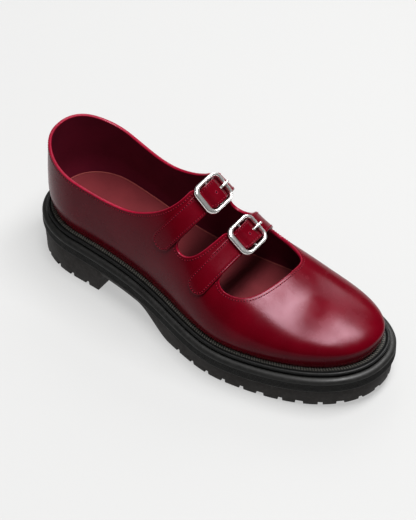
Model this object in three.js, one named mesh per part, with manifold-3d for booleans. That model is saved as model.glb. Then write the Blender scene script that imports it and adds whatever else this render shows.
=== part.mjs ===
// A right-foot mary jane shoe with two buckled instep straps on a thick lugged sole.
// Millimetres. X runs from heel to toe, +Y is the inner (medial) side of the foot, +Z is up,
// and the sole stands on Z = 0. Heights and stations in the tables use the last's own frame,
// whose X = 0 is the back edge of the sole; the finished group is centred on its own box.
import * as THREE from 'three';
import { mergeVertices } from 'three/addons/utils/BufferGeometryUtils.js';
import Module from 'manifold-3d';

const wasm = await Module();
wasm.setup();

// ---------------------------------------------------------------- driving sizes
const HEEL_X = 8; // back of the upper at its feather edge
const TOE_X = 260.4; // front of the upper at its feather edge
const TOE_SWING = 3; // how far the toe leans to the inner side
const WALL = 2; // leather and lining together
const GAP = 0.3; // clearance between pieces that touch
const WELT_THICK = 2.8;
const WELT_REACH = 5.2; // welt beyond the upper
const MIDSOLE_THICK = 10.6;
const MIDSOLE_REACH = 8.7;
const TOE_EXTRA = 1.3; // extra reach of the sole around the toe
const OUTSOLE_REACH = 6.8;
const INSOLE_THICK = 4;
const NOTCH_DEPTH = 3.2;
const NOTCH_RUN = 15;
const STRAP_WIDTH = 14; // the lateral pieces that hold the buckles
const BILLET_WIDTH = 15; // the medial straps, which fill the buckles
const STRAP_THICK = 1.5;
const BUCKLE_LONG = 24.5; // along the strap
const BUCKLE_WIDE = 22; // across the strap
const BUCKLE_THICK = 2.6;
const SPINE_BACK = 40; // the heel's meridians meet on this station
const SPINE_FRONT = 176; // the toe's meridians meet on this one, inside the front opening

// Half widths of the feather edge, measured from the centre line.
const WIDTHS = [
  { x: 0, lateral: 29.7, medial: 29.7 },
  { x: 55, lateral: 30.2, medial: 28.6 },
  { x: 115, lateral: 36, medial: 24.6 },
  { x: 168, lateral: 47.5, medial: 32 },
  { x: 195, lateral: 47.7, medial: 34.5 },
  { x: 280, lateral: 47.7, medial: 34.5 },
];

// Height of the feather edge, which is also the top of the welt.
const FEATHER = [
  { x: 0, z: 36.4 },
  { x: 60, z: 35.2 },
  { x: 120, z: 30.9 },
  { x: 175, z: 26.4 },
  { x: 225, z: 28 },
  { x: 275, z: 32.4 },
];

// The last above the feather edge: height of its crown, sideways place of the crown,
// height of the widest line over the feather edge, how far that line stands out, and
// the roundness of the section on each side (2 is an ellipse, more is boxier).
const SECTIONS = [
  { x: 0, crown: 158, crest: 0, girth: 20, bulge: 4, outer: 2.6, inner: 2.6 },
  { x: 60, crown: 152, crest: 0, girth: 16, bulge: 2, outer: 2.5, inner: 2.5 },
  { x: 100, crown: 127, crest: 0.5, girth: 12, bulge: 1.5, outer: 2.3, inner: 2.5 },
  { x: 138, crown: 97.8, crest: 1.5, girth: 10, bulge: 1.5, outer: 2.1, inner: 2.7 },
  { x: 163, crown: 76.5, crest: 2.5, girth: 9, bulge: 2, outer: 2.2, inner: 2.5 },
  { x: 192, crown: 65, crest: 4, girth: 9, bulge: 2.2, outer: 2.2, inner: 2.2 },
  { x: 208, crown: 60.2, crest: 3.5, girth: 9.5, bulge: 2.2, outer: 2.2, inner: 2.1 },
  { x: 225, crown: 57.6, crest: 3, girth: 10, bulge: 2.2, outer: 2.25, inner: 2.1 },
  { x: 248, crown: 56, crest: 3, girth: 10.5, bulge: 2.1, outer: 2.35, inner: 2.3 },
  { x: 275, crown: 53.5, crest: 3, girth: 11, bulge: 2, outer: 2.4, inner: 2.4 },
];

// Straps: where the centre line crosses the crown, lean of the strap's plane in degrees, and
// the places of the lateral tip, the buckle and the medial seam, measured along the strap
// from the crown, with the medial side positive.
const STRAPS = [
  { name: 'rear', x: 134.5, lean: 31, tip: -57, buckle: -3.5, seam: 33 },
  { name: 'front', x: 160.7, lean: 26, tip: -55.5, buckle: -3.5, seam: 34 },
];

// Edges of the upper as seen from the side, from the back forward: the collar behind the rear
// strap and the keyhole between the straps. Each curve runs out over the crown at its ends.
const EDGES = [
  {
    side: 'lateral',
    rows: [
      { x: -6, z: 92.5 },
      { x: 8, z: 91.5 },
      { x: 26, z: 85.5 },
      { x: 47, z: 81 },
      { x: 70, z: 79.5 },
      { x: 90, z: 82 },
      { x: 106, z: 89 },
      { x: 117, z: 96 },
      { x: 124, z: 103 },
      { x: 128, z: 112 },
    ],
  },
  {
    side: 'lateral',
    rows: [
      { x: 141, z: 108 },
      { x: 139, z: 98 },
      { x: 136, z: 90.5 },
      { x: 131.5, z: 83 },
      { x: 129.5, z: 78 },
      { x: 131.5, z: 74.2 },
      { x: 137.5, z: 72.6 },
      { x: 144.5, z: 75.5 },
      { x: 150, z: 80.8 },
      { x: 154.5, z: 87 },
      { x: 157, z: 96 },
    ],
  },
  {
    side: 'medial',
    rows: [
      { x: -6, z: 92.5 },
      { x: 8, z: 91.5 },
      { x: 26, z: 84.5 },
      { x: 47, z: 78.5 },
      { x: 68, z: 74.8 },
      { x: 83, z: 75.5 },
      { x: 96, z: 79.5 },
      { x: 107, z: 85 },
      { x: 116, z: 92 },
      { x: 121, z: 100 },
      { x: 124, z: 112 },
    ],
  },
  {
    side: 'medial',
    rows: [
      { x: 136, z: 108 },
      { x: 134, z: 92 },
      { x: 131, z: 80 },
      { x: 130.5, z: 72 },
      { x: 135.5, z: 67.8 },
      { x: 143, z: 68 },
      { x: 148.5, z: 72 },
      { x: 152.5, z: 79 },
      { x: 155, z: 90 },
    ],
  },
];

// Edge of the front opening as seen from above, from the front strap's lateral tab round the
// throat to its medial tab.
const THROAT = [
  { x: 166, y: -4 },
  { x: 165, y: -20 },
  { x: 163.2, y: -29 },
  { x: 163.6, y: -34 },
  { x: 168, y: -36 },
  { x: 174.5, y: -35.5 },
  { x: 181, y: -33 },
  { x: 186.7, y: -28 },
  { x: 190, y: -22 },
  { x: 192.4, y: -15 },
  { x: 194, y: -7 },
  { x: 194.8, y: 1 },
  { x: 194.8, y: 9 },
  { x: 194, y: 15 },
  { x: 191.2, y: 19 },
  { x: 185, y: 22 },
  { x: 177, y: 24.4 },
  { x: 169.5, y: 25.6 },
  { x: 165.6, y: 24 },
  { x: 164.5, y: 17 },
];

// The strap tabs end at these distances from the centre line, hidden under their straps.
const TAB_ENDS = { lateral: -9, medial: 20, back: 100, front: 165 };

// ---------------------------------------------------------------- curves through the tables
// Natural cubic spline through one named column of a table.
function spline(rows, column) {
  const n = rows.length;
  const x = rows.map((row) => row.x);
  const y = rows.map((row) => row[column]);
  const bend = new Array(n).fill(0);
  const work = new Array(n).fill(0);
  for (let i = 1; i < n - 1; i++) {
    const share = (x[i] - x[i - 1]) / (x[i + 1] - x[i - 1]);
    const p = share * bend[i - 1] + 2;
    const jump = (y[i + 1] - y[i]) / (x[i + 1] - x[i]) - (y[i] - y[i - 1]) / (x[i] - x[i - 1]);
    bend[i] = (share - 1) / p;
    work[i] = ((6 * jump) / (x[i + 1] - x[i - 1]) - share * work[i - 1]) / p;
  }
  for (let i = n - 2; i > 0; i--) bend[i] = bend[i] * bend[i + 1] + work[i];
  return (at) => {
    let k = 0;
    while (k < n - 2 && at > x[k + 1]) k++;
    const h = x[k + 1] - x[k];
    const a = (x[k + 1] - at) / h;
    const b = (at - x[k]) / h;
    const curve = ((a ** 3 - a) * bend[k] + (b ** 3 - b) * bend[k + 1]) * h * h / 6;
    return a * y[k] + b * y[k + 1] + curve;
  };
}

const clamp = (v, low, high) => Math.min(high, Math.max(low, v));
const mix = (a, b, t) => a + (b - a) * t;
const ease = (t) => clamp(t, 0, 1) ** 2 * (3 - 2 * clamp(t, 0, 1));

const lateralWidth = spline(WIDTHS, 'lateral');
const medialWidth = spline(WIDTHS, 'medial');
const featherHeight = spline(FEATHER, 'z');
const crown = spline(SECTIONS, 'crown');
const crest = spline(SECTIONS, 'crest');
const girth = spline(SECTIONS, 'girth');
const bulge = spline(SECTIONS, 'bulge');
const outerRoundness = spline(SECTIONS, 'outer');
const innerRoundness = spline(SECTIONS, 'inner');

// Superelliptic closing of the outline between a station and its end.
function closing(x, start, end, power) {
  const t = clamp((x - start) / (end - start), 0, 1);
  return (1 - t ** power) ** (1 / power);
}

// Feather edge: the angle runs 0 to PI from heel to toe on the lateral side and on to 2 PI
// from toe to heel on the medial side.
function feather(angle) {
  const x = HEEL_X + (TOE_X - HEEL_X) * (1 - Math.cos(angle)) / 2;
  const swing = TOE_SWING * ease((x - 154) / (TOE_X - 154));
  const heel = closing(x, 45, HEEL_X, 2.1);
  const lateral = lateralWidth(x) * closing(x, 162, TOE_X, 2.18) * heel;
  const medial = medialWidth(x) * closing(x, 175, TOE_X, 2.4) * heel;
  return new THREE.Vector2(x, Math.sin(angle) >= 0 ? swing - lateral : swing + medial);
}

const angleAt = (x) => Math.acos(clamp(1 - 2 * (x - HEEL_X) / (TOE_X - HEEL_X), -1, 1));

// ---------------------------------------------------------------- the last's skin
const GIRTH_AT = 0.2; // share of the way up at which the section is widest

// Point of the skin: angle round the feather edge, rise 0 at the feather edge to 1 on the crown.
function skin(angle, rise) {
  const edge = feather(angle);
  const spineX = clamp(edge.x, SPINE_BACK, SPINE_FRONT);
  const spine = new THREE.Vector2(spineX, crest(spineX));
  const reach = edge.distanceTo(spine);
  const out = bulge(edge.x);
  const roundness = Math.sin(angle) >= 0 ? outerRoundness(edge.x) : innerRoundness(edge.x);
  let share;
  if (rise < GIRTH_AT) {
    share = 1 + out * (1 - (1 - rise / GIRTH_AT) ** 2) / reach;
  } else {
    const turn = Math.PI / 2 * (rise - GIRTH_AT) / (1 - GIRTH_AT);
    share = (1 + out / reach) * Math.max(Math.cos(turn), 0) ** (2 / roundness);
  }
  const x = mix(spine.x, edge.x, share);
  const y = mix(spine.y, edge.y, share);
  const base = featherHeight(x);
  const waist = base + girth(x);
  let z;
  if (rise < GIRTH_AT) {
    z = mix(featherHeight(edge.x), featherHeight(edge.x) + girth(edge.x), rise / GIRTH_AT);
  } else {
    z = waist + (crown(x) - waist) * Math.sin(Math.PI / 2 * (rise - GIRTH_AT) / (1 - GIRTH_AT));
  }
  return new THREE.Vector3(x, y, z);
}

// Outward normal of the skin.
function skinNormal(angle, rise) {
  const step = 0.002;
  const low = clamp(rise, step, 1 - 4 * step);
  const along = skin(angle + step, low).sub(skin(angle - step, low));
  const up = skin(angle, low + step).sub(skin(angle, low - step));
  return along.cross(up).normalize();
}

// Skin pushed outward by a distance, or inward by a negative one.
const offsetSkin = (angle, rise, distance) =>
  skin(angle, rise).addScaledVector(skinNormal(angle, rise), distance);


// ---------------------------------------------------------------- solids from loops and grids
// Closed mesh from rings of points that all have the same count. With caps the first and last
// rings are filled by strips across the shoe; without them the last ring joins the first.
function ringSolid(rings, capped) {
  const count = rings[0].length;
  const points = rings.flat();
  const faces = [];
  const joins = capped ? rings.length - 1 : rings.length;
  for (let r = 0; r < joins; r++) {
    const low = r * count;
    const high = ((r + 1) % rings.length) * count;
    for (let i = 0; i < count; i++) {
      const j = (i + 1) % count;
      faces.push([low + i, low + j, high + j], [low + i, high + j, high + i]);
    }
  }
  if (capped) {
    const top = (rings.length - 1) * count;
    for (let i = 0; i < count / 2; i++) {
      const a = i;
      const b = i + 1;
      const c = (count - i - 1) % count;
      const d = (count - i) % count;
      faces.push([a, c, b], [top + a, top + b, top + c]);
      if (i > 0) faces.push([a, d, c], [top + a, top + c, top + d]);
    }
  }
  return facesToGeometry(points, faces);
}

// Sheet with thickness from two grids of points, one above the other.
function slabSolid(upperGrid, lowerGrid) {
  const rows = upperGrid.length;
  const columns = upperGrid[0].length;
  const points = [...upperGrid.flat(), ...lowerGrid.flat()];
  const below = rows * columns;
  const faces = [];
  for (let r = 0; r < rows - 1; r++) {
    for (let c = 0; c < columns - 1; c++) {
      const a = r * columns + c;
      const b = a + 1;
      const d = a + columns;
      const e = d + 1;
      faces.push([a, b, e], [a, e, d]);
      faces.push([below + a, below + e, below + b], [below + a, below + d, below + e]);
    }
  }
  const rim = [];
  for (let c = 0; c < columns - 1; c++) rim.push(c);
  for (let r = 0; r < rows - 1; r++) rim.push(r * columns + columns - 1);
  for (let c = columns - 1; c > 0; c--) rim.push((rows - 1) * columns + c);
  for (let r = rows - 1; r > 0; r--) rim.push(r * columns);
  for (let i = 0; i < rim.length; i++) {
    const a = rim[i];
    const b = rim[(i + 1) % rim.length];
    faces.push([b, a, below + a], [b, below + a, below + b]);
  }
  return facesToGeometry(points, faces);
}

// Indexed geometry with its faces turned outward.
function facesToGeometry(points, faces) {
  let volume = 0;
  for (const [a, b, c] of faces) {
    volume += points[a].dot(new THREE.Vector3().crossVectors(points[b], points[c]));
  }
  const index = faces.flatMap(([a, b, c]) => (volume > 0 ? [a, b, c] : [a, c, b]));
  const geometry = new THREE.BufferGeometry();
  const coordinates = points.flatMap((p) => [p.x, p.y, p.z]);
  geometry.setAttribute('position', new THREE.Float32BufferAttribute(coordinates, 3));
  geometry.setIndex(index);
  return geometry;
}

// ---------------------------------------------------------------- joining and cutting
function toManifold(geometry) {
  const bare = geometry.clone();
  bare.deleteAttribute('normal');
  bare.deleteAttribute('uv');
  const merged = mergeVertices(bare, 1e-4);
  return new wasm.Manifold(new wasm.Mesh({
    numProp: 3,
    vertProperties: new Float32Array(merged.attributes.position.array),
    triVerts: new Uint32Array(merged.index.array),
  }));
}

function fromManifold(solid) {
  const mesh = solid.getMesh();
  const geometry = new THREE.BufferGeometry();
  const coordinates = new Float32Array(mesh.vertProperties);
  geometry.setAttribute('position', new THREE.BufferAttribute(coordinates, 3));
  geometry.setIndex(new THREE.BufferAttribute(new Uint32Array(mesh.triVerts), 1));
  return geometry;
}

// ---------------------------------------------------------------- outline of the sole
const RING_POINTS = 72;

// Angles that divide the feather edge evenly by length, starting at the heel.
function evenAngles(count) {
  const steps = 2400;
  const lengths = [0];
  for (let i = 1; i <= steps; i++) {
    const here = feather(2 * Math.PI * i / steps);
    const before = feather(2 * Math.PI * (i - 1) / steps);
    lengths.push(lengths[i - 1] + here.distanceTo(before));
  }
  const angles = [];
  let k = 0;
  for (let j = 0; j < count; j++) {
    const target = lengths[steps] * j / count;
    while (lengths[k + 1] < target) k++;
    const share = (target - lengths[k]) / (lengths[k + 1] - lengths[k]);
    angles.push(2 * Math.PI * (k + share) / steps);
  }
  return angles;
}

// Feather edge moved outward in plan by a distance.
function featherOffset(angle, distance) {
  const step = 0.01;
  const here = feather(angle);
  const along = feather(angle + step).sub(feather(angle - step)).normalize();
  return new THREE.Vector2(here.x + along.y * distance, here.y - along.x * distance);
}

const toeShare = (x) => ease((x - 190) / 70);
const ringAngles = evenAngles(RING_POINTS);

// One ring of a sole layer: reach beyond the feather edge and height at each station.
function soleRing(reach, height) {
  return ringAngles.map((angle) => {
    const extra = reach > 0 ? TOE_EXTRA * toeShare(feather(angle).x) * reach / MIDSOLE_REACH : 0;
    const p = featherOffset(angle, reach + extra);
    return new THREE.Vector3(p.x, p.y, height(p.x));
  });
}

// Heights of the layers at a station.
const HEEL_BREAST = 66;
const WAIST_THICK = 4.5;
const TOE_SPRING = 5.6;
const weltTop = (x) => featherHeight(x);
const weltBottom = (x) => weltTop(x) - WELT_THICK;
const midsoleTop = (x) => weltBottom(x) - GAP;
const midsoleBottom = (x) => midsoleTop(x) - MIDSOLE_THICK;
const outsoleTop = (x) => midsoleBottom(x) - GAP;

// Underside of the outsole: flat heel, hollow waist, flat forefoot and toe spring.
function treadHeight(x) {
  const waist = outsoleTop(x) - WAIST_THICK;
  if (x < 134) return waist * ease((x - HEEL_BREAST) / 4) * (1 - ease((x - 102) / 32));
  return TOE_SPRING * Math.max(0, (x - 200) / 72) ** 2;
}

// ---------------------------------------------------------------- sole layers
const WELT_LAP = 6; // welt under the upper
const PLUG = WELT_LAP + GAP; // the midsole fills the welt's ring up to this inset

const weltGeometry = ringSolid([
  soleRing(-WELT_LAP, weltBottom),
  soleRing(WELT_REACH - 0.8, weltBottom),
  soleRing(WELT_REACH, (x) => weltBottom(x) + 0.9),
  soleRing(WELT_REACH - 0.7, (x) => weltTop(x) - 0.3),
  soleRing(WELT_REACH - 1.8, weltTop),
  soleRing(-WELT_LAP, weltTop),
], false);

const midsoleGeometry = ringSolid([
  soleRing(MIDSOLE_REACH - 0.8, midsoleBottom),
  soleRing(MIDSOLE_REACH, (x) => midsoleBottom(x) + 1),
  soleRing(MIDSOLE_REACH, (x) => midsoleTop(x) - 3.2),
  soleRing(MIDSOLE_REACH - 1.2, (x) => midsoleTop(x) - 0.9),
  soleRing(MIDSOLE_REACH - 3.4, midsoleTop),
  soleRing(-PLUG, midsoleTop),
  soleRing(-PLUG, weltTop),
], true);

const outsoleBlank = ringSolid([
  soleRing(OUTSOLE_REACH - 0.6, treadHeight),
  soleRing(OUTSOLE_REACH, (x) => mix(treadHeight(x), outsoleTop(x), 0.2)),
  soleRing(OUTSOLE_REACH + 0.9, outsoleTop),
], true);

// Box for cutting a groove in the tread, turned about the vertical.
function grooveCutter(centre, direction, length, width) {
  const top = treadHeight(centre.x) + NOTCH_DEPTH;
  const height = top + 2;
  const box = new THREE.BoxGeometry(length, width, height);
  box.rotateZ(Math.atan2(direction.y, direction.x));
  box.translate(centre.x, centre.y, top - height / 2);
  return toManifold(box);
}

// Side notches run round the forefoot and round the heel, a pitch apart along the edge.
const NOTCH_RUNS = [
  { from: 138, side: 'front', pitch: 13.2, narrow: 3.4, wide: 5.6 },
  { from: 58, side: 'back', pitch: 13.2, narrow: 3.4, wide: 3.4 },
];
const CENTRE_GROOVES = [
  { x: 22, width: 5, length: 20 },
  { x: 42, width: 5, length: 24 },
  { x: 150, width: 5, length: 34 },
  { x: 171, width: 5, length: 40 },
  { x: 192, width: 5, length: 42 },
  { x: 213, width: 5, length: 40 },
  { x: 234, width: 5, length: 30 },
];

function treadCutters() {
  const cutters = [];
  const angles = evenAngles(960);
  for (const run of NOTCH_RUNS) {
    const front = run.side === 'front';
    const inRun = angles.filter((a) => (front ? feather(a).x > run.from : feather(a).x < run.from));
    const fromToe = (angle) => (angle + Math.PI) % (2 * Math.PI);
    const ordered = front ? inRun : inRun.sort((a, b) => fromToe(a) - fromToe(b));
    let travelled = run.pitch / 2;
    let number = 0;
    let before = featherOffset(ordered[0], OUTSOLE_REACH);
    for (const angle of ordered) {
      const here = featherOffset(angle, OUTSOLE_REACH);
      travelled += here.distanceTo(before);
      before = here;
      if (travelled < run.pitch) continue;
      travelled -= run.pitch;
      number += 1;
      const nearToe = feather(angle).x > 205;
      const width = nearToe && number % 2 === 0 ? run.wide : run.narrow;
      const inner = featherOffset(angle, OUTSOLE_REACH - NOTCH_RUN);
      const centre = featherOffset(angle, OUTSOLE_REACH - NOTCH_RUN / 2 + 2);
      cutters.push(grooveCutter(centre, here.clone().sub(inner), NOTCH_RUN + 4, width));
    }
  }
  for (const groove of CENTRE_GROOVES) {
    const angle = angleAt(groove.x);
    const centre = new THREE.Vector2(groove.x, (feather(angle).y + feather(-angle).y) / 2);
    cutters.push(grooveCutter(centre, new THREE.Vector2(0, 1), groove.length, groove.width));
  }
  return cutters;
}

const outsoleGeometry = fromManifold(
  treadCutters().reduce((solid, cutter) => solid.subtract(cutter), toManifold(outsoleBlank)),
);

const INSOLE_INSET = WALL + 0.4;
const insoleBottom = (x) => weltTop(x) + GAP;
const insoleGeometry = ringSolid([
  soleRing(-INSOLE_INSET, insoleBottom),
  soleRing(-INSOLE_INSET, (x) => insoleBottom(x) + INSOLE_THICK - 0.8),
  soleRing(-INSOLE_INSET - 1, (x) => insoleBottom(x) + INSOLE_THICK),
], true);

// ---------------------------------------------------------------- upper
const UPPER_COLUMNS = 108;
const UPPER_RISES = [0.07, 0.14, 0.2, 0.3, 0.42, 0.54, 0.66, 0.78, 0.88, 0.96];
const upperAngles = evenAngles(UPPER_COLUMNS);
const INNER_DROP = 3; // the inner form goes this far under the feather edge, to leave it open

// Closed form of the last at a distance from its skin, its foot at a height over the welt.
function lastForm(distance, foot) {
  const bottom = upperAngles.map((angle) => {
    const edge = featherOffset(angle, distance);
    return new THREE.Vector3(edge.x, edge.y, weltTop(feather(angle).x) + foot);
  });
  const rings = UPPER_RISES.map((rise) => upperAngles.map((angle) => offsetSkin(angle, rise, distance)));
  return toManifold(ringSolid([bottom, ...rings], true));
}

// Smooth outline through rows of two named columns, closed by further corners.
function smoothOutline(rows, across, up, corners) {
  const curve = new THREE.CatmullRomCurve3(
    rows.map((row) => new THREE.Vector3(row[across], row[up], 0)), false, 'centripetal');
  const points = curve.getPoints(3 * (rows.length - 1)).map((p) => new THREE.Vector2(p.x, p.y));
  return new THREE.Shape([...points, ...corners.map(([x, y]) => new THREE.Vector2(x, y))]);
}

const CUT_TOP = 200; // above everything
const CUT_SIDE = 80; // outside everything
const MIDLINE = 3; // the side cuts meet here, inside the opening

// Prism that clears the wall above one edge curve, on one side of the shoe.
function sideCutter({ side, rows }) {
  const first = rows[0];
  const last = rows[rows.length - 1];
  const shape = smoothOutline(rows, 'x', 'z', [[last.x, CUT_TOP], [first.x, CUT_TOP]]);
  const prism = new THREE.ExtrudeGeometry(shape, { depth: CUT_SIDE, bevelEnabled: false });
  prism.rotateX(Math.PI / 2); // the depth now runs to -Y
  prism.translate(0, side === 'lateral' ? MIDLINE : MIDLINE + CUT_SIDE, 0);
  return toManifold(prism);
}

// Prism that clears the front opening, and a box that clears the space between the tabs.
function throatCutter() {
  const shape = smoothOutline(THROAT, 'x', 'y', [[150, 15], [150, -4]]);
  const prism = new THREE.ExtrudeGeometry(shape, { depth: CUT_TOP, bevelEnabled: false });
  prism.translate(0, 0, weltTop(THROAT[0].x) + 15);
  const { lateral, medial, back, front } = TAB_ENDS;
  const gap = new THREE.BoxGeometry(front - back, medial - lateral, CUT_TOP);
  gap.translate((front + back) / 2, (medial + lateral) / 2, CUT_TOP / 2 + weltTop(back) + 20);
  return toManifold(prism).add(toManifold(gap));
}

const upperShell = lastForm(0, GAP).subtract(lastForm(-WALL, -INNER_DROP));
const upperGeometry = fromManifold(
  [...EDGES.map(sideCutter), throatCutter()].reduce((solid, cutter) => solid.subtract(cutter), upperShell),
);

// ---------------------------------------------------------------- straps
const radians = (degrees) => degrees * Math.PI / 180;

// Skin point in a strap's leaning plane, moved across the strap by a width.
function pointInPlane(strap, rise, medial, across) {
  const lean = radians(strap.lean);
  const top = crown(strap.x);
  let x = strap.x;
  let angle = angleAt(x);
  for (let i = 0; i < 30; i++) {
    angle = medial ? 2 * Math.PI - angleAt(x) : angleAt(x);
    x = strap.x + (skin(angle, rise).z - top) * Math.tan(lean) + across / Math.cos(lean);
  }
  return { angle, rise };
}

// Table of rise against distance along the strap from the crown, medial side positive.
function strapPath(strap) {
  const steps = 120;
  const path = [{ run: 0, rise: 1, medial: true }];
  for (const medial of [false, true]) {
    let run = 0;
    let before = skin(angleAt(strap.x), 1);
    for (let i = 1; i < steps; i++) {
      const rise = 1 - (1 - GIRTH_AT) * i / steps;
      const spot = pointInPlane(strap, rise, medial, 0);
      const here = skin(spot.angle, spot.rise);
      run += here.distanceTo(before);
      before = here;
      path.push({ run: medial ? run : -run, rise, medial });
    }
  }
  return path.sort((a, b) => a.run - b.run);
}

// Point at a run along a strap and a width across it, lifted above the skin.
function strapPoint(strap, path, run, across, lift) {
  let k = 0;
  while (k < path.length - 2 && path[k + 1].run < run) k++;
  const share = (run - path[k].run) / (path[k + 1].run - path[k].run);
  const rise = Math.min(mix(path[k].rise, path[k + 1].rise, share), 0.995);
  const spot = pointInPlane(strap, rise, run > 0, across);
  return offsetSkin(spot.angle, spot.rise, lift);
}

// Leather band between two runs. Lift and half width are functions of the run.
function bandSolid(strap, path, from, to, steps, lift, halfWidth) {
  const upper = [];
  const lower = [];
  const lanes = 4;
  for (let i = 0; i <= steps; i++) {
    const run = mix(from, to, i / steps);
    const half = halfWidth(run);
    const upperRow = [];
    const lowerRow = [];
    for (let j = 0; j <= lanes; j++) {
      const across = half * (2 * j / lanes - 1);
      upperRow.push(strapPoint(strap, path, run, across, lift(run) + STRAP_THICK));
      lowerRow.push(strapPoint(strap, path, run, across, lift(run)));
    }
    upper.push(upperRow);
    lower.push(lowerRow);
  }
  return slabSolid(upper, lower);
}

// Layers at the buckle, counted outward from the skin.
const FRAME_LIFT = 2.2; // underside of the frame over the crown
const BAR_RADIUS = 0.75;
const OVER_BAR = FRAME_LIFT + 2 * BAR_RADIUS + 0.4; // the strap passes over the centre bar
const OVER_CHAPE = GAP + STRAP_THICK + GAP; // and its end lies on the lateral piece
const PRONG_AT = 6; // the prong comes up this far medial of the buckle's middle
const PRONG_RADIUS = 0.7;
const HOLE_SIZE = 3.6;

const tipShape = (strap) => (run) => {
  const t = clamp((run - strap.tip) / (STRAP_WIDTH / 2), 0, 1);
  return STRAP_WIDTH / 2 * Math.sqrt(Math.max(1 - (1 - t) ** 2, 0.04));
};

// The medial piece dips under the medial bar, rises over the centre bar and comes down on
// the lateral piece. It is a little narrower at its end inside the frame.
const billetLift = (strap) => (run) => {
  const a = run - strap.buckle;
  const medialDip = mix(OVER_BAR, GAP, ease((a - 3) / 6));
  return a > 0 ? medialDip : mix(OVER_BAR, OVER_CHAPE, ease((-a - 2) / 5));
};
const billetShape = (strap) => (run) => BILLET_WIDTH / 2 - 1.2 * ease((strap.buckle - run - 4.5) / 2.5);

// ---------------------------------------------------------------- buckles
const FRAME_SIDE = 2.5; // width of the frame's thin sides
const FRAME_FACE = 4.1; // width of its broad lateral bar

function roundedRectangle(shape, x0, y0, x1, y1, radius) {
  shape.moveTo(x0 + radius, y0);
  shape.lineTo(x1 - radius, y0);
  shape.absarc(x1 - radius, y0 + radius, radius, -Math.PI / 2, 0);
  shape.lineTo(x1, y1 - radius);
  shape.absarc(x1 - radius, y1 - radius, radius, 0, Math.PI / 2);
  shape.lineTo(x0 + radius, y1);
  shape.absarc(x0 + radius, y1 - radius, radius, Math.PI / 2, Math.PI);
  shape.lineTo(x0, y0 + radius);
  shape.absarc(x0 + radius, y0 + radius, radius, Math.PI, 1.5 * Math.PI);
  return shape;
}

// Frame with its centre bar, lying in its own plane: X across the strap, Y along it.
function buckleFrame() {
  const long = BUCKLE_LONG / 2;
  const wide = BUCKLE_WIDE / 2;
  const bevel = 0.5;
  const outline = roundedRectangle(
    new THREE.Shape(), -wide + bevel, -long + bevel, wide - bevel, long - bevel, 5);
  const window = roundedRectangle(new THREE.Path(), -wide + FRAME_SIDE - bevel, -long + FRAME_FACE - bevel,
    wide - FRAME_SIDE + bevel, long - FRAME_SIDE + bevel, 2.8);
  outline.holes.push(window);
  const frame = new THREE.ExtrudeGeometry(outline, {
    depth: BUCKLE_THICK - 2 * bevel,
    bevelThickness: bevel,
    bevelSize: bevel,
    bevelSegments: 1,
    curveSegments: 3,
  });
  frame.translate(0, 0, bevel);
  const bar = new THREE.CylinderGeometry(BAR_RADIUS, BAR_RADIUS, BUCKLE_WIDE - FRAME_SIDE, 8);
  bar.rotateZ(Math.PI / 2);
  bar.translate(0, 0, BAR_RADIUS + 0.05);
  return fromManifold(toManifold(frame).add(toManifold(bar)));
}

// Prong: from beside the centre bar up through the strap's hole and over the medial bar.
function buckleProng() {
  const path = new THREE.CatmullRomCurve3([
    new THREE.Vector3(0, BAR_RADIUS + PRONG_RADIUS + GAP, 0.4),
    new THREE.Vector3(0, PRONG_AT - 2.2, 0.4),
    new THREE.Vector3(0, PRONG_AT + 0.2, 2),
    new THREE.Vector3(0, BUCKLE_LONG / 2 - FRAME_SIDE, BUCKLE_THICK + PRONG_RADIUS + GAP),
    new THREE.Vector3(0, BUCKLE_LONG / 2 + 0.6, BUCKLE_THICK + PRONG_RADIUS + GAP),
  ], false, 'centripetal');
  const section = new THREE.Shape();
  section.absarc(0, 0, PRONG_RADIUS, 0, 2 * Math.PI);
  const options = { steps: 9, bevelEnabled: false, extrudePath: path, curveSegments: 4 };
  return new THREE.ExtrudeGeometry(section, options);
}

// Placement of a strap's buckle: its middle over the strap, flat on the skin's tangent plane.
function buckleMatrix(strap, path) {
  const middle = strapPoint(strap, path, strap.buckle, 0, FRAME_LIFT);
  const along = strapPoint(strap, path, strap.buckle + 2, 0, FRAME_LIFT);
  along.sub(strapPoint(strap, path, strap.buckle - 2, 0, FRAME_LIFT)).normalize();
  const across = strapPoint(strap, path, strap.buckle, 2, FRAME_LIFT);
  across.sub(strapPoint(strap, path, strap.buckle, -2, FRAME_LIFT)).normalize();
  const out = new THREE.Vector3().crossVectors(across, along).normalize();
  across.crossVectors(along, out);
  return new THREE.Matrix4().makeBasis(across, along, out).setPosition(middle);
}

// ---------------------------------------------------------------- assembly
const finishes = {
  leather: new THREE.MeshStandardMaterial({ color: 0x6d0a18, roughness: 0.22, metalness: 0 }),
  lining: new THREE.MeshStandardMaterial({ color: 0x4a1f22, roughness: 0.7, metalness: 0 }),
  rubber: new THREE.MeshStandardMaterial({ color: 0x1c1c1c, roughness: 0.6, metalness: 0 }),
  steel: new THREE.MeshStandardMaterial({ color: 0xc8c8c4, roughness: 0.2, metalness: 1 }),
};

const shoe = new THREE.Group();

function addPiece(name, geometry, finish) {
  const piece = new THREE.Mesh(geometry, finishes[finish].clone());
  piece.name = name;
  shoe.add(piece);
}

addPiece('outsole', outsoleGeometry, 'rubber');
addPiece('midsole', midsoleGeometry, 'rubber');
addPiece('welt', weltGeometry, 'rubber');
addPiece('insole', insoleGeometry, 'lining');
addPiece('upper', upperGeometry, 'leather');

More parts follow.
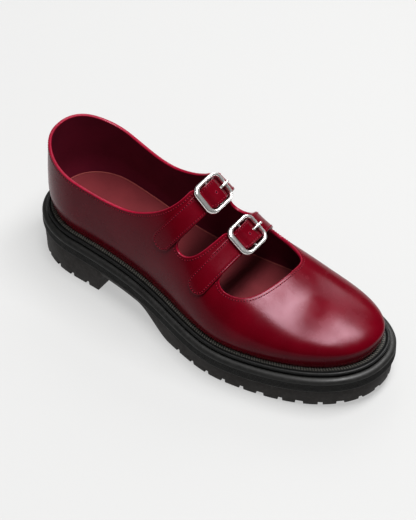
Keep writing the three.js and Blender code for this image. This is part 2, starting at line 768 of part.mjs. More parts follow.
for (const strap of STRAPS) {
  const path = strapPath(strap);
  const placing = buckleMatrix(strap, path);
  const chapeEnd = strap.buckle + 1.5;
  const billetEnd = strap.buckle - BUCKLE_LONG / 2 + FRAME_FACE + 3 * GAP;
  const chape = bandSolid(strap, path, strap.tip, chapeEnd, 16, () => GAP, tipShape(strap));
  const billet = bandSolid(strap, path, billetEnd, strap.seam, 18, billetLift(strap), billetShape(strap));
  const hole = new THREE.CylinderGeometry(HOLE_SIZE / 2, HOLE_SIZE / 2, 9, 10);
  hole.rotateX(Math.PI / 2);
  hole.translate(0, PRONG_AT - 0.6, 1.5);
  hole.applyMatrix4(placing);
  addPiece(`${strap.name}_chape`, chape, 'leather');
  addPiece(`${strap.name}_billet`, fromManifold(toManifold(billet).subtract(toManifold(hole))), 'leather');
  addPiece(`${strap.name}_buckle`, buckleFrame().applyMatrix4(placing), 'steel');
  addPiece(`${strap.name}_prong`, buckleProng().applyMatrix4(placing), 'steel');
}

// The origin is the middle of the box round the whole shoe, on the floor.
const box = new THREE.Box3().setFromObject(shoe);
const centre = box.getCenter(new THREE.Vector3());
shoe.position.set(-centre.x, -centre.y, -box.min.z);

export default shoe;
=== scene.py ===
"""Looks of the two-strap mary jane shoe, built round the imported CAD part.

The shapes are worked out in the last's own frame, in millimetres: X runs from heel to toe with
X = 0 at the back edge of the sole, +Y is the inner side of the foot and Z = 0 is the floor.
`place` turns such points into the frame's metres.
"""

import math

import bmesh
import bpy
import numpy as np
from mathutils import Matrix, Vector


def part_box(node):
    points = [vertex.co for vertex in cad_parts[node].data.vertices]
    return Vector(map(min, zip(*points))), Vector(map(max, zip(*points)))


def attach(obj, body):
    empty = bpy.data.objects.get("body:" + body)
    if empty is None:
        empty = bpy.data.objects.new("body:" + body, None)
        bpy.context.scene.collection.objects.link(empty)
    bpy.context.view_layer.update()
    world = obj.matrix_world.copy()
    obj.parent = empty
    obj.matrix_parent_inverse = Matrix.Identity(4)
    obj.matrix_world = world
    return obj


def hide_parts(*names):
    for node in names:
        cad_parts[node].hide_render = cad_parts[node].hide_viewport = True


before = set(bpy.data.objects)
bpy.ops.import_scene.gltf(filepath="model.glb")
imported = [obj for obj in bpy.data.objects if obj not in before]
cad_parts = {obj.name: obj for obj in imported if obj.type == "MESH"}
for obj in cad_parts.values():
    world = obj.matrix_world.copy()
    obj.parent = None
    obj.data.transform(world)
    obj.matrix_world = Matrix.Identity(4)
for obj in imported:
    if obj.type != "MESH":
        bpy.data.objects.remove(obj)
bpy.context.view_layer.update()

# ------------------------------------------------------------------ sizes of the last and sole
HEEL_X = 8.0
TOE_X = 260.4
TOE_SWING = 3.0  # how far the toe leans to the inner side
SWING_FROM = 154.0
HEEL_ROUND_TO = 45.0
HEEL_POWER = 2.1
LATERAL_TOE_FROM = 162.0
LATERAL_TOE_POWER = 2.18
MEDIAL_TOE_FROM = 175.0
MEDIAL_TOE_POWER = 2.4
WALL = 2.0
GAP = 0.3
WELT_THICK = 2.8
WELT_REACH = 5.2
MIDSOLE_THICK = 10.6
MIDSOLE_REACH = 8.7
TOE_EXTRA = 1.3
OUTSOLE_REACH = 6.8
INSOLE_THICK = 4.0
WAIST_THICK = 4.5  # rubber left over the hollow waist
WAIST_FROM = 66.0
WAIST_STEP = 4.0
WAIST_FADE_FROM = 102.0
WAIST_TO = 134.0
NOTCH_DEPTH = 3.2
NOTCH_RUN = 15.0
NOTCH_PITCH = 13.2
NOTCH_NARROW = 3.4
NOTCH_WIDE = 5.6
GROOVE_WIDTH = 5.0
GROOVES = ((22, 20), (42, 24), (150, 34), (171, 40), (192, 42), (213, 40), (234, 30))  # station, length
STRAP_WIDTH = 14.0
BILLET_WIDTH = 15.0
STRAP_THICK = 1.5
BUCKLE_LONG = 24.5
BUCKLE_WIDE = 22.0
BUCKLE_THICK = 2.6
SPINE_BACK = 40.0
SPINE_FRONT = 176.0
GIRTH_AT = 0.2
TOE_SPRING = 5.6
TOE_SPRING_FROM = 200.0
TOE_SPRING_RUN = 72.0

# Half widths of the feather edge, its height, and the sections of the last above it. Much of WIDTHS,
# FEATHER, EDGES and THROAT is fitted or traced and then rounded, not chosen.
WIDTHS = {
    "x": (0, 55, 115, 168, 195, 280),
    "lateral": (29.7, 30.2, 36, 47.5, 47.7, 47.7),
    "medial": (29.7, 28.6, 24.6, 32, 34.5, 34.5),
}
FEATHER = {
    "x": (0, 60, 120, 175, 225, 275),
    "z": (36.4, 35.2, 30.9, 26.4, 28, 32.4),
}
SECTIONS = {
    "x": (0, 60, 100, 138, 163, 192, 208, 225, 248, 275),
    "crown": (158, 152, 127, 97.8, 76.5, 65, 60.2, 57.6, 56, 53.5),
    "crest": (0, 0, 0.5, 1.5, 2.5, 4, 3.5, 3, 3, 3),
    "girth": (20, 16, 12, 10, 9, 9, 9.5, 10, 10.5, 11),
    "bulge": (4, 2, 1.5, 1.5, 2, 2.2, 2.2, 2.2, 2.1, 2),
    "outer": (2.6, 2.5, 2.3, 2.1, 2.2, 2.2, 2.2, 2.25, 2.35, 2.4),
    "inner": (2.6, 2.5, 2.5, 2.7, 2.5, 2.2, 2.1, 2.1, 2.3, 2.4),
}
STRAPS = (
    {"name": "rear", "x": 134.5, "lean": 31, "tip": -57, "buckle": -3.5, "seam": 33},
    {"name": "front", "x": 160.7, "lean": 26, "tip": -55.5, "buckle": -3.5, "seam": 34},
)

# Edges of the upper seen from the side: (side, x column, z column).
EDGES = (
    ("lateral", (-6, 8, 26, 47, 70, 90, 106, 117, 124, 128),
     (92.5, 91.5, 85.5, 81, 79.5, 82, 89, 96, 103, 112)),
    ("lateral", (141, 139, 136, 131.5, 129.5, 131.5, 137.5, 144.5, 150, 154.5, 157),
     (108, 98, 90.5, 83, 78, 74.2, 72.6, 75.5, 80.8, 87, 96)),
    ("medial", (-6, 8, 26, 47, 68, 83, 96, 107, 116, 121, 124),
     (92.5, 91.5, 84.5, 78.5, 74.8, 75.5, 79.5, 85, 92, 100, 112)),
    ("medial", (136, 134, 131, 130.5, 135.5, 143, 148.5, 152.5, 155),
     (108, 92, 80, 72, 67.8, 68, 72, 79, 90)),
)
# Edge of the front opening seen from above: x column, y column.
THROAT = (
    (166, 165, 163.2, 163.6, 168, 174.5, 181, 186.7, 190, 192.4,
     194, 194.8, 194.8, 194, 191.2, 185, 177, 169.5, 165.6, 164.5),
    (-4, -20, -29, -34, -36, -35.5, -33, -28, -22, -15,
     -7, 1, 9, 15, 19, 22, 24.4, 25.6, 24, 17),
)
# The strap tabs end at these places, hidden under their straps.
TAB_LATERAL = -9.0
TAB_MEDIAL = 20.0
TAB_BACK = 100.0
TAB_FRONT = 165.0
CUT_TOP = 200.0
MIDLINE = 3.0
SIDE_LAP = 3.0  # each side's cut runs on past the midline
WALL_LEFT = 12.0  # the front opening stays this far over the welt
THROAT_BACK = ((150, 15), (150, -4))


# ------------------------------------------------------------------ curves through the tables
def spline(table, column):
    """Natural cubic spline through a column of a table, over its x column."""
    x = np.array(table["x"], float)
    y = np.array(table[column], float)
    n = len(x)
    system = np.eye(n)
    right = np.zeros(n)
    for i in range(1, n - 1):
        before = x[i] - x[i - 1]
        after = x[i + 1] - x[i]
        system[i, i - 1:i + 2] = before, 2 * (before + after), after
        right[i] = 6 * ((y[i + 1] - y[i]) / after - (y[i] - y[i - 1]) / before)
    bend = np.linalg.solve(system, right)

    def curve(at):
        at = np.asarray(at, float)
        k = np.clip(np.searchsorted(x, at) - 1, 0, n - 2)
        h = x[k + 1] - x[k]
        a = (x[k + 1] - at) / h
        b = (at - x[k]) / h
        bow = ((a ** 3 - a) * bend[k] + (b ** 3 - b) * bend[k + 1]) * h * h / 6
        return a * y[k] + b * y[k + 1] + bow
    return curve


lateral_width = spline(WIDTHS, "lateral")
medial_width = spline(WIDTHS, "medial")
feather_height = spline(FEATHER, "z")
crown = spline(SECTIONS, "crown")
crest = spline(SECTIONS, "crest")
girth = spline(SECTIONS, "girth")
bulge = spline(SECTIONS, "bulge")
outer_roundness = spline(SECTIONS, "outer")
inner_roundness = spline(SECTIONS, "inner")


def ease(t):
    t = np.clip(t, 0, 1)
    return t * t * (3 - 2 * t)


def mix(a, b, t):
    return a + (b - a) * t


def closing(x, start, end, power):
    """Share of the width left between a start and the end, where a rounded outline closes."""
    t = np.clip((x - start) / (end - start), 0, 1)
    return (1 - t ** power) ** (1 / power)


def feather(angle):
    """Feather edge: angle 0 at the heel, pi at the toe, lateral side first."""
    angle = np.asarray(angle, float)
    x = HEEL_X + (TOE_X - HEEL_X) * (1 - np.cos(angle)) / 2
    swing = TOE_SWING * ease((x - SWING_FROM) / (TOE_X - SWING_FROM))
    heel = closing(x, HEEL_ROUND_TO, HEEL_X, HEEL_POWER)
    lateral = lateral_width(x) * closing(x, LATERAL_TOE_FROM, TOE_X, LATERAL_TOE_POWER) * heel
    medial = medial_width(x) * closing(x, MEDIAL_TOE_FROM, TOE_X, MEDIAL_TOE_POWER) * heel
    return np.stack([x, np.where(np.sin(angle) >= 0, swing - lateral, swing + medial)], -1)


def angle_at(x):
    """Angle of the feather edge's lateral side at a station."""
    return np.arccos(np.clip(1 - 2 * (x - HEEL_X) / (TOE_X - HEEL_X), -1, 1))


def skin(angle, rise):
    """Point of the last's skin, rise 0 at the feather edge to 1 on the crown."""
    angle, rise = np.broadcast_arrays(np.asarray(angle, float), np.asarray(rise, float))
    edge = feather(angle)
    spine_x = np.clip(edge[..., 0], SPINE_BACK, SPINE_FRONT)
    spine = np.stack([spine_x, crest(spine_x)], -1)
    reach = np.linalg.norm(edge - spine, axis=-1)
    station = edge[..., 0]
    out = bulge(station)
    roundness = np.where(np.sin(angle) >= 0, outer_roundness(station), inner_roundness(station))
    low = rise < GIRTH_AT
    turn = np.pi / 2 * (rise - GIRTH_AT) / (1 - GIRTH_AT)
    share_low = 1 + out * (1 - (1 - rise / GIRTH_AT) ** 2) / reach
    share_high = (1 + out / reach) * np.maximum(np.cos(turn), 0) ** (2 / roundness)
    share = np.where(low, share_low, share_high)
    plan = spine + (edge - spine) * share[..., None]
    waist = feather_height(plan[..., 0]) + girth(plan[..., 0])
    z_low = feather_height(edge[..., 0]) + girth(edge[..., 0]) * rise / GIRTH_AT
    z_high = waist + (crown(plan[..., 0]) - waist) * np.sin(turn)
    return np.concatenate([plan, np.where(low, z_low, z_high)[..., None]], -1)


def unit(v):
    return v / np.maximum(np.linalg.norm(v, axis=-1, keepdims=True), 1e-12)


def skin_normal(angle, rise):
    step = 0.002
    low = np.clip(rise, step, 1 - 4 * step)
    along = skin(angle + step, low) - skin(angle - step, low)
    up = skin(angle, low + step) - skin(angle, low - step)
    return unit(np.cross(along, up))


def offset_skin(angle, rise, distance):
    distance = np.asarray(distance, float)[..., None]
    return skin(angle, rise) + skin_normal(angle, rise) * distance


def even_angles(count):
    """Angles that divide the feather edge evenly by length."""
    steps = np.linspace(0, 2 * np.pi, 4801)
    lengths = np.concatenate([[0], np.cumsum(np.linalg.norm(np.diff(feather(steps), axis=0), axis=1))])
    return np.interp(np.arange(count) / count * lengths[-1], lengths, steps)


def feather_offset(angle, distance):
    """Point in plan at a distance outside the feather edge."""
    step = 0.01
    along = unit(feather(angle + step) - feather(angle - step))
    outward = np.stack([along[..., 1], -along[..., 0]], -1)
    return feather(angle) + outward * np.asarray(distance, float)[..., None]


# ------------------------------------------------------------------ heights of the sole layers
def welt_top(x):
    return feather_height(x)


def welt_bottom(x):
    return welt_top(x) - WELT_THICK


def midsole_top(x):
    return welt_bottom(x) - GAP


def midsole_bottom(x):
    return midsole_top(x) - MIDSOLE_THICK


def outsole_top(x):
    return midsole_bottom(x) - GAP


def tread_height(x):
    """Underside of the tread: flat heel and forefoot, hollow waist, lifted toe."""
    fade = 1 - ease((x - WAIST_FADE_FROM) / (WAIST_TO - WAIST_FADE_FROM))
    hollow = (outsole_top(x) - WAIST_THICK) * ease((x - WAIST_FROM) / WAIST_STEP) * fade
    toe = TOE_SPRING * np.maximum(0, (x - TOE_SPRING_FROM) / TOE_SPRING_RUN) ** 2
    return np.where(x < WAIST_TO, hollow, toe)


def sole_ring(angles, reach, height):
    """Ring of points round the sole at a reach beyond the feather edge; height is a function."""
    extra = TOE_EXTRA * ease((feather(angles)[:, 0] - 190) / 70) * max(reach, 0) / MIDSOLE_REACH
    plan = feather_offset(angles, reach + extra)
    return np.column_stack([plan, height(plan[:, 0])])


# The shift from the last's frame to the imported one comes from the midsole's box.
midsole_low = np.array(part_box("midsole")[0]) * 1000
own_low = sole_ring(even_angles(72), MIDSOLE_REACH, midsole_top).min(axis=0)
SHIFT = np.array([midsole_low[0] - own_low[0], midsole_low[1] - own_low[1], 0.0])


def place(points):
    """Points of the last's frame, in millimetres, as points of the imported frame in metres."""
    return (np.asarray(points) + SHIFT) / 1000


# ------------------------------------------------------------------ mesh building
SHARP = math.radians(48)


def make_mesh(name, points, faces, materials, face_slots=None):
    """Object from points in the last's frame; face_slots picks a material for each face."""
    mesh = bpy.data.meshes.new(name)
    mesh.from_pydata(place(points).tolist(), [], faces)
    for material in materials:
        mesh.materials.append(material)
    if face_slots is not None:
        mesh.polygons.foreach_set("material_index", np.asarray(face_slots, np.int32))
    mesh.polygons.foreach_set("use_smooth", np.ones(len(mesh.polygons), bool))
    mesh.set_sharp_from_angle(angle=SHARP)
    mesh.update()
    thing = bpy.data.objects.new(name, mesh)
    bpy.context.collection.objects.link(thing)
    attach(thing, "root")
    return thing


class Batch:
    """Collects many small shapes into one mesh."""

    def __init__(self):
        self.points = []
        self.faces = []
        self.slots = []
        self.count = 0

    def add(self, points, faces, slot=0):
        self.points.append(np.asarray(points, float))
        self.faces.extend([[i + self.count for i in face] for face in faces])
        self.slots.extend([slot] * len(faces))
        self.count += len(points)

    def build(self, name, materials):
        return make_mesh(name, np.concatenate(self.points), self.faces, materials, self.slots)


def loft_faces(rings, count, closed_rings, closed_loop):
    """Quads between neighbouring rings of points."""
    faces = []
    for r in range(rings if closed_loop else rings - 1):
        low = r * count
        high = ((r + 1) % rings) * count
        for i in range(count if closed_rings else count - 1):
            j = (i + 1) % count
            faces.append([low + i, low + j, high + j, high + i])
    return faces


def ring_body(name, profile, angles, materials):
    """Closed ring round the sole from a list of (reach, height function) pairs."""
    rings = np.concatenate([sole_ring(angles, reach, height) for reach, height in profile])
    return make_mesh(name, rings, loft_faces(len(profile), len(angles), True, True), materials)


def tube(batch, path, normals, half_high, half_wide, sides, closed):
    """Tube with an elliptical section along a path; half_high is along the given normals."""
    path = np.asarray(path, float)
    normals = unit(np.asarray(normals, float))
    if closed:
        along = np.roll(path, -1, 0) - np.roll(path, 1, 0)
    else:
        along = np.gradient(path, axis=0)
    along = unit(along)
    across = unit(np.cross(along, normals))
    up = np.cross(across, along)
    turn = np.arange(sides) * 2 * np.pi / sides
    high = np.broadcast_to(np.asarray(half_high, float), len(path))
    wide = np.broadcast_to(np.asarray(half_wide, float), len(path))
    rings = path[:, None, :] + up[:, None, :] * (np.sin(turn)[None, :, None] * high[:, None, None])
    rings = rings + across[:, None, :] * (np.cos(turn)[None, :, None] * wide[:, None, None])
    faces = loft_faces(len(path), sides, True, closed)
    if not closed:
        faces.append(list(range(sides))[::-1])
        faces.append([len(path) * sides - sides + i for i in range(sides)])
    batch.add(rings.reshape(-1, 3), faces)


def resample(points, spacing, *others):
    """Points at an even spacing along an open path, with other arrays carried along."""
    lengths = np.concatenate([[0], np.cumsum(np.linalg.norm(np.diff(points, axis=0), axis=1))])
    count = max(int(round(lengths[-1] / spacing)), 2)
    at = np.linspace(0, lengths[-1], count + 1)
    made = []
    for values in (points, *others):
        made.append(np.stack([np.interp(at, lengths, column) for column in values.T], -1))
    return made


def tube_piece(name, path, normals, half_high, half_wide, sides, closed, material):
    """Object that is one tube."""
    batch = Batch()
    tube(batch, path, normals, half_high, half_wide, sides, closed)
    return batch.build(name, [material])


STITCH_RADIUS = 0.32
STITCH_PITCH = 1.9
STITCH_PARTS = 6  # path steps from one stitch to the next
THREAD_PARTS = 4  # of these, the steps that the thread covers
STITCH_ARCH = 0.16
STITCH_SINK = 0.1
HOLE_RADIUS = 0.42


def stitches(batch, path, normals, lift=0.1):
    """Row of threads along a path on the leather, each followed by a needle hole painted dark as its shade.
    """
    points, up = resample(path, STITCH_PITCH / STITCH_PARTS, normals)
    up = unit(up)
    arch = np.sqrt(1 - np.linspace(-1, 1, THREAD_PARTS) ** 2)
    high = STITCH_RADIUS * (0.45 + 0.55 * arch)
    wide = STITCH_RADIUS * (0.6 + 0.4 * arch)
    for start in range(0, len(points) - STITCH_PARTS, STITCH_PARTS):
        chosen = slice(start, start + THREAD_PARTS)
        raised = points[chosen] + up[chosen] * (lift + STITCH_ARCH * arch - STITCH_SINK)[:, None]
        tube(batch, raised, up[chosen], high, wide, 6, False)
        hole = start + THREAD_PARTS
        # Dark disc: painted shade of the needle hole.
        disc(batch, points[hole], up[hole], HOLE_RADIUS, lift=0.04, slot=1)


def disc(batch, centre, normal, radius, lift, slot, sides=8):
    """Thin raised coin on a surface; where it stands for a hole it is drawn dark as painted shade."""
    normal = unit(np.asarray(normal, float))
    helper = np.array([1.0, 0.0, 0.0]) if abs(normal[0]) < 0.8 else np.array([0.0, 1.0, 0.0])
    a = unit(np.cross(normal, helper))
    b = np.cross(normal, a)
    turn = np.arange(sides) * 2 * np.pi / sides
    rim = centre + radius * (np.cos(turn)[:, None] * a + np.sin(turn)[:, None] * b)
    top = rim + normal * lift
    bottom = rim - normal * 0.12
    faces = loft_faces(2, sides, True, False)
    faces.append(list(range(sides))[::-1])
    faces.append([sides + i for i in range(sides)])
    batch.add(np.concatenate([bottom, top]), faces, slot)


def slab(top, bottom):
    """Closed sheet from two grids (rows, columns, 3): its points and faces."""
    rows, columns = top.shape[:2]
    below = rows * columns
    faces = []
    for r in range(rows - 1):
        for c in range(columns - 1):
            a = r * columns + c
            b, d, e = a + 1, a + columns, a + columns + 1
            faces.append([a, b, e, d])
            faces.append([below + a, below + d, below + e, below + b])
    rim = [c for c in range(columns - 1)]
    rim += [r * columns + columns - 1 for r in range(rows - 1)]
    rim += [(rows - 1) * columns + c for c in range(columns - 1, 0, -1)]
    rim += [r * columns for r in range(rows - 1, 0, -1)]
    for a, b in zip(rim, rim[1:] + rim[:1]):
        faces.append([b, a, below + a, below + b])
    return np.concatenate([top.reshape(-1, 3), bottom.reshape(-1, 3)]), faces


def clean(thing, distance=1e-6):
    """Joins points that coincide and drops faces with no area, all turned outward."""
    work = bmesh.new()
    work.from_mesh(thing.data)
    bmesh.ops.remove_doubles(work, verts=work.verts, dist=distance)
    bmesh.ops.dissolve_degenerate(work, edges=work.edges, dist=distance)
    bmesh.ops.recalc_face_normals(work, faces=work.faces)
    work.to_mesh(thing.data)
    work.free()
    thing.data.set_sharp_from_angle(angle=SHARP)


# ------------------------------------------------------------------ materials
def principled(name, color, roughness, metallic=0.0, ior=1.5):
    material = bpy.data.materials.new(name)
    material.use_nodes = True
    shader = material.node_tree.nodes["Principled BSDF"]
    shader.inputs["Base Color"].default_value = (*color, 1)
    shader.inputs["Roughness"].default_value = roughness
    shader.inputs["Metallic"].default_value = metallic
    shader.inputs["IOR"].default_value = ior
    return material, shader


def noise(material, scale, detail, stretch=(1, 1, 1)):
    """Noise over the object; returns its 0 to 1 value."""
    nodes = material.node_tree.nodes
    links = material.node_tree.links
    place_node = nodes.new("ShaderNodeTexCoord")
    mapping = nodes.new("ShaderNodeMapping")
    mapping.inputs["Scale"].default_value = stretch
    texture = nodes.new("ShaderNodeTexNoise")
    texture.inputs["Scale"].default_value = scale
    texture.inputs["Detail"].default_value = detail
    texture.inputs["Roughness"].default_value = 0.55
    links.new(place_node.outputs["Object"], mapping.inputs["Vector"])
    links.new(mapping.outputs["Vector"], texture.inputs["Vector"])
    return texture.outputs["Fac"]


def ramp(material, source, stops):
    """Colour ramp over a source; stops are (place, colour) pairs."""
    node = material.node_tree.nodes.new("ShaderNodeValToRGB")
    elements = node.color_ramp.elements
    while len(elements) < len(stops):
        elements.new(0.5)
    for element, (at, color) in zip(elements, stops):
        element.position = at
        element.color = (*color, 1)
    material.node_tree.links.new(source, node.inputs["Fac"])
    return node.outputs["Color"]


def span(material, source, low, high):
    """Spread a 0 to 1 value over a range."""
    node = material.node_tree.nodes.new("ShaderNodeMapRange")
    node.inputs["From Min"].default_value = 0.3
    node.inputs["From Max"].default_value = 0.7
    node.inputs["To Min"].default_value = low
    node.inputs["To Max"].default_value = high
    material.node_tree.links.new(source, node.inputs["Value"])
    return node.outputs["Result"]


def bump(material, shader, source, strength, distance, onto=None):
    """Bump on a shader, over an earlier bump if one is given."""
    node = material.node_tree.nodes.new("ShaderNodeBump")
    node.inputs["Strength"].default_value = strength
    node.inputs["Distance"].default_value = distance
    links = material.node_tree.links
    links.new(source, node.inputs["Height"])
    if onto is not None:
        links.new(onto, node.inputs["Normal"])
    links.new(node.outputs["Normal"], shader.inputs["Normal"])
    return node.outputs["Normal"]


def scaled(color, factor):
    return tuple(c * factor for c in color)


LEATHER_RED = (0.077, 0.0002, 0.0047)
POLISH_TINT = (1.0, 0.74, 0.85)


def leather(name, color, roughness=0.25, ior=1.28, grain=0.05):
    """Polished leather: mottled colour, pores, fine grain and slightly uneven polish."""
    material, shader = principled(name, color, roughness, ior=ior)
    links = material.node_tree.links
    shader.inputs["Specular Tint"].default_value = (*POLISH_TINT, 1)
    mottle = noise(material, 34, detail=4)
    tone = ramp(material, mottle, [
        (0.3, scaled(color, 0.84)), (0.52, color), (0.72, scaled(color, 1.14))])
    links.new(tone, shader.inputs["Base Color"])
    polish = noise(material, 85, detail=3)
    links.new(span(material, polish, roughness - 0.05, roughness + 0.06),
              shader.inputs["Roughness"])
    pores = noise(material, 1900, detail=2)
    skin_marks = noise(material, 260, detail=3)
    first = bump(material, shader, pores, grain, 0.00006)
    bump(material, shader, skin_marks, grain * 0.7, 0.0002, onto=first)
    return material


def rubber(name, color, roughness):
    """Moulded rubber: nearly black, faintly speckled, softly uneven."""
    material, shader = principled(name, color, roughness, ior=1.4)
    links = material.node_tree.links
    speckle = noise(material, 420, detail=4)
    tone = ramp(material, speckle, [
        (0.3, scaled(color, 0.7)), (0.55, color), (0.75, scaled(color, 1.5))])
    links.new(tone, shader.inputs["Base Color"])
    dull = noise(material, 120, detail=3)
    links.new(span(material, dull, roughness - 0.07, roughness + 0.08),
              shader.inputs["Roughness"])
    fine = noise(material, 1500, detail=2)
    bump(material, shader, fine, 0.25, 0.0001)
    return material


def steel(name):
    """Polished steel with faint rub marks."""
    material, shader = principled(name, (0.86, 0.85, 0.83), 0.26, metallic=0.92)
    links = material.node_tree.links
    rub = noise(material, 260, detail=3, stretch=(1, 0.3, 1))
    links.new(span(material, rub, 0.20, 0.26), shader.inputs["Roughness"])
    cloud = noise(material, 160, detail=2)
    tone = ramp(material, cloud, [(0.3, (0.80, 0.79, 0.77)), (0.7, (0.92, 0.91, 0.90))])
    links.new(tone, shader.inputs["Base Color"])
    return material


upper_leather = leather("upper_leather_red", LEATHER_RED)
strap_leather = leather("strap_leather_red", LEATHER_RED, roughness=0.27, grain=0.08)
# Lighter red than the upper: a painted highlight line on the folded topline edge and on the rings round the
# strap holes.
edge_highlight_leather = leather("folded_edge_red_painted_highlight", (0.16, 0.0045, 0.018), roughness=0.3)
lining_leather = leather("lining_burgundy", (0.088, 0.0075, 0.018), roughness=0.6, ior=1.25, grain=0.2)
insole_leather = leather("insole_brown", (0.10, 0.018, 0.021), roughness=0.6, ior=1.2, grain=0.25)
thread = leather("thread_red", (0.17, 0.007, 0.020), roughness=0.6, grain=0.5)
# Near black discs that paint the shade inside needle holes and strap holes.
hole_shade_dark = leather("needle_hole_painted_shade", (0.012, 0.0005, 0.001), roughness=0.8)
# Pale tan: partly the raw cut edge's own colour, partly a painted highlight; also the painted highlight
# line of the insole's edge seam.
pale_edge_and_highlight = leather("pale_edge_tan_and_painted_highlight", (0.18, 0.046, 0.040), roughness=0.7, grain=0.4)
welt_rubber = rubber("welt_rubber_black", (0.007, 0.007, 0.0068), 0.58)
# Much lighter than the welt: partly the knurled band's own grey, partly painted light that offsets the
# shade under the upper.
knurl_rubber_grey_and_painted_light = rubber("knurled_rubber_grey_painted_lighter", (0.066, 0.063, 0.055), 0.6)
midsole_rubber = rubber("midsole_rubber_black", (0.013, 0.0128, 0.0122), 0.5)
outsole_rubber = rubber("outsole_rubber_black", (0.025, 0.022, 0.0205), 0.62)
buckle_steel = steel("buckle_steel")


# ------------------------------------------------------------------ upper
def smooth_outline(across, up, corners, steps=8):
    """Centripetal curve through two columns of a table, closed by further corners."""
    knots = np.column_stack([across, up]).astype(float)
    knots = np.concatenate([[2 * knots[0] - knots[1]], knots, [2 * knots[-1] - knots[-2]]])
    points = []
    for k in range(1, len(knots) - 2):
        p = knots[k - 1:k + 3]
        gaps = np.sqrt(np.linalg.norm(np.diff(p, axis=0), axis=1))
        first = ((p[1] - p[0]) / gaps[0] - (p[2] - p[0]) / (gaps[0] + gaps[1])
                 + (p[2] - p[1]) / gaps[1]) * gaps[1]
        last = ((p[2] - p[1]) / gaps[1] - (p[3] - p[1]) / (gaps[1] + gaps[2])
                + (p[3] - p[2]) / gaps[2]) * gaps[1]
        for t in np.arange(steps) / steps:
            points.append((2 * t ** 3 - 3 * t ** 2 + 1) * p[1] + (t ** 3 - 2 * t ** 2 + t) * first
                          + (-2 * t ** 3 + 3 * t ** 2) * p[2] + (t ** 3 - t ** 2) * last)
    points.append(knots[-2])
    return np.concatenate([points, np.asarray(corners, float).reshape(-1, 2)])


def signed_inside(a, b, outline):
    """Distance to an outline, positive inside it."""
    nearest = np.full(a.shape, 1e9)
    inside = np.zeros(a.shape, bool)
    for (ax, ay), (bx, by) in zip(outline, np.roll(outline, -1, 0)):
        dx, dy = bx - ax, by - ay
        t = np.clip(((a - ax) * dx + (b - ay) * dy) / (dx * dx + dy * dy + 1e-12), 0, 1)
        nearest = np.minimum(nearest, np.hypot(a - ax - t * dx, b - ay - t * dy))
        crosses = (ay > b) != (by > b)
        with np.errstate(divide="ignore", invalid="ignore"):
            inside ^= crosses & (a < ax + (b - ay) * dx / dy)
    return np.where(inside, nearest, -nearest)


def cleared(points):
    """How far points of the skin lie inside the shoe's openings; negative on the leather."""
    x, y, z = points[..., 0], points[..., 1], points[..., 2]
    fields = []
    for side, across, up in EDGES:
        outline = smooth_outline(across, up, [(across[-1], CUT_TOP), (across[0], CUT_TOP)])
        lap = MIDLINE + SIDE_LAP - y if side == "lateral" else y - MIDLINE + SIDE_LAP
        fields.append(np.minimum(signed_inside(x, z, outline), lap))
    outline = smooth_outline(*THROAT, THROAT_BACK)
    above = z - welt_top(x) - WALL_LEFT
    fields.append(np.minimum(signed_inside(x, y, outline), above))
    fields.append(np.min([x - TAB_BACK, TAB_FRONT - x, y - TAB_LATERAL, TAB_MEDIAL - y, above], axis=0))
    return np.max(fields, axis=0)


def soft_mark(x, y, at, size, turn):
    """Smooth hill of height 1 in plan."""
    c, s = math.cos(turn), math.sin(turn)
    u = ((x - at[0]) * c + (y - at[1]) * s) / size[0]
    v = (-(x - at[0]) * s + (y - at[1]) * c) / size[1]
    return np.exp(-(u * u + v * v))


# Soft troughs and swells of the vamp: place, half sizes, turn, height.
VAMP_MARKS = (
    {"at": (214, -6), "size": (10, 24), "turn": 0.36, "height": -0.42},
    {"at": (233, -3), "size": (13, 24), "turn": 0.36, "height": 0.36},
)


def relief(angle, rise):
    """Relief of the outer leather, in millimetres."""
    points = skin(angle, rise)
    total = np.zeros(points.shape[:-1])
    for mark in VAMP_MARKS:
        hill = soft_mark(points[..., 0], points[..., 1], mark["at"], mark["size"], mark["turn"])
        total += mark["height"] * hill
    return total * ease((rise - 0.25) / 0.25)


def boundary_loops(faces):
    """Loops of the edges that belong to one face only."""
    seen = {}
    for face in faces:
        for a, b in zip(face, face[1:] + face[:1]):
            seen[(a, b)] = True
    nexts = {a: b for a, b in seen if (b, a) not in seen}
    loops = []
    while nexts:
        start = next(iter(nexts))
        loop = [start]
        at = nexts.pop(start)
        while at != start:
            loop.append(at)
            at = nexts.pop(at)
        loops.append(loop)
    return loops


def cut_chart(columns, rows):
    """Chart of the skin (angle, rise) with the openings cut away: chart points and faces."""
    angles = np.append(even_angles(columns), 2 * np.pi)
    rises = np.linspace(0, 0.985, rows) ** 0.92
    a, r = np.meshgrid(angles, rises, indexing="ij")
    field = cleared(skin(a, r))
    points = np.column_stack([a.ravel(), r.ravel(), field.ravel()])
    faces = []
    for i in range(columns):
        for j in range(rows - 1):
            k = i * rows + j
            faces.append([k, k + rows, k + rows + 1, k + 1])
    mesh = bpy.data.meshes.new("chart")
    mesh.from_pydata(points.tolist(), [], faces)
    work = bmesh.new()
    work.from_mesh(mesh)
    bmesh.ops.bisect_plane(work, geom=work.verts[:] + work.edges[:] + work.faces[:], dist=1e-7,
                           plane_co=(0, 0, 0), plane_no=(0, 0, 1), clear_outer=True)
    work.verts.ensure_lookup_table()
    chart = np.array([v.co[:] for v in work.verts])
    kept = [[v.index for v in f.verts] for f in work.faces]
    work.free()
    bpy.data.meshes.remove(mesh)
    chart[:, 0] = np.where(chart[:, 0] > 2 * np.pi - 1e-5, 0.0, chart[:, 0])
    _, first, back = np.unique(np.round(chart[:, :2], 5), axis=0, return_index=True, return_inverse=True)
    back = back.ravel()
    merged = []
    for face in kept:
        corners = [int(back[i]) for i in face]
        corners = [c for i, c in enumerate(corners) if c != corners[i - 1]]
        if len(set(corners)) > 2:
            merged.append(corners)
    return chart[first][:, :2], merged


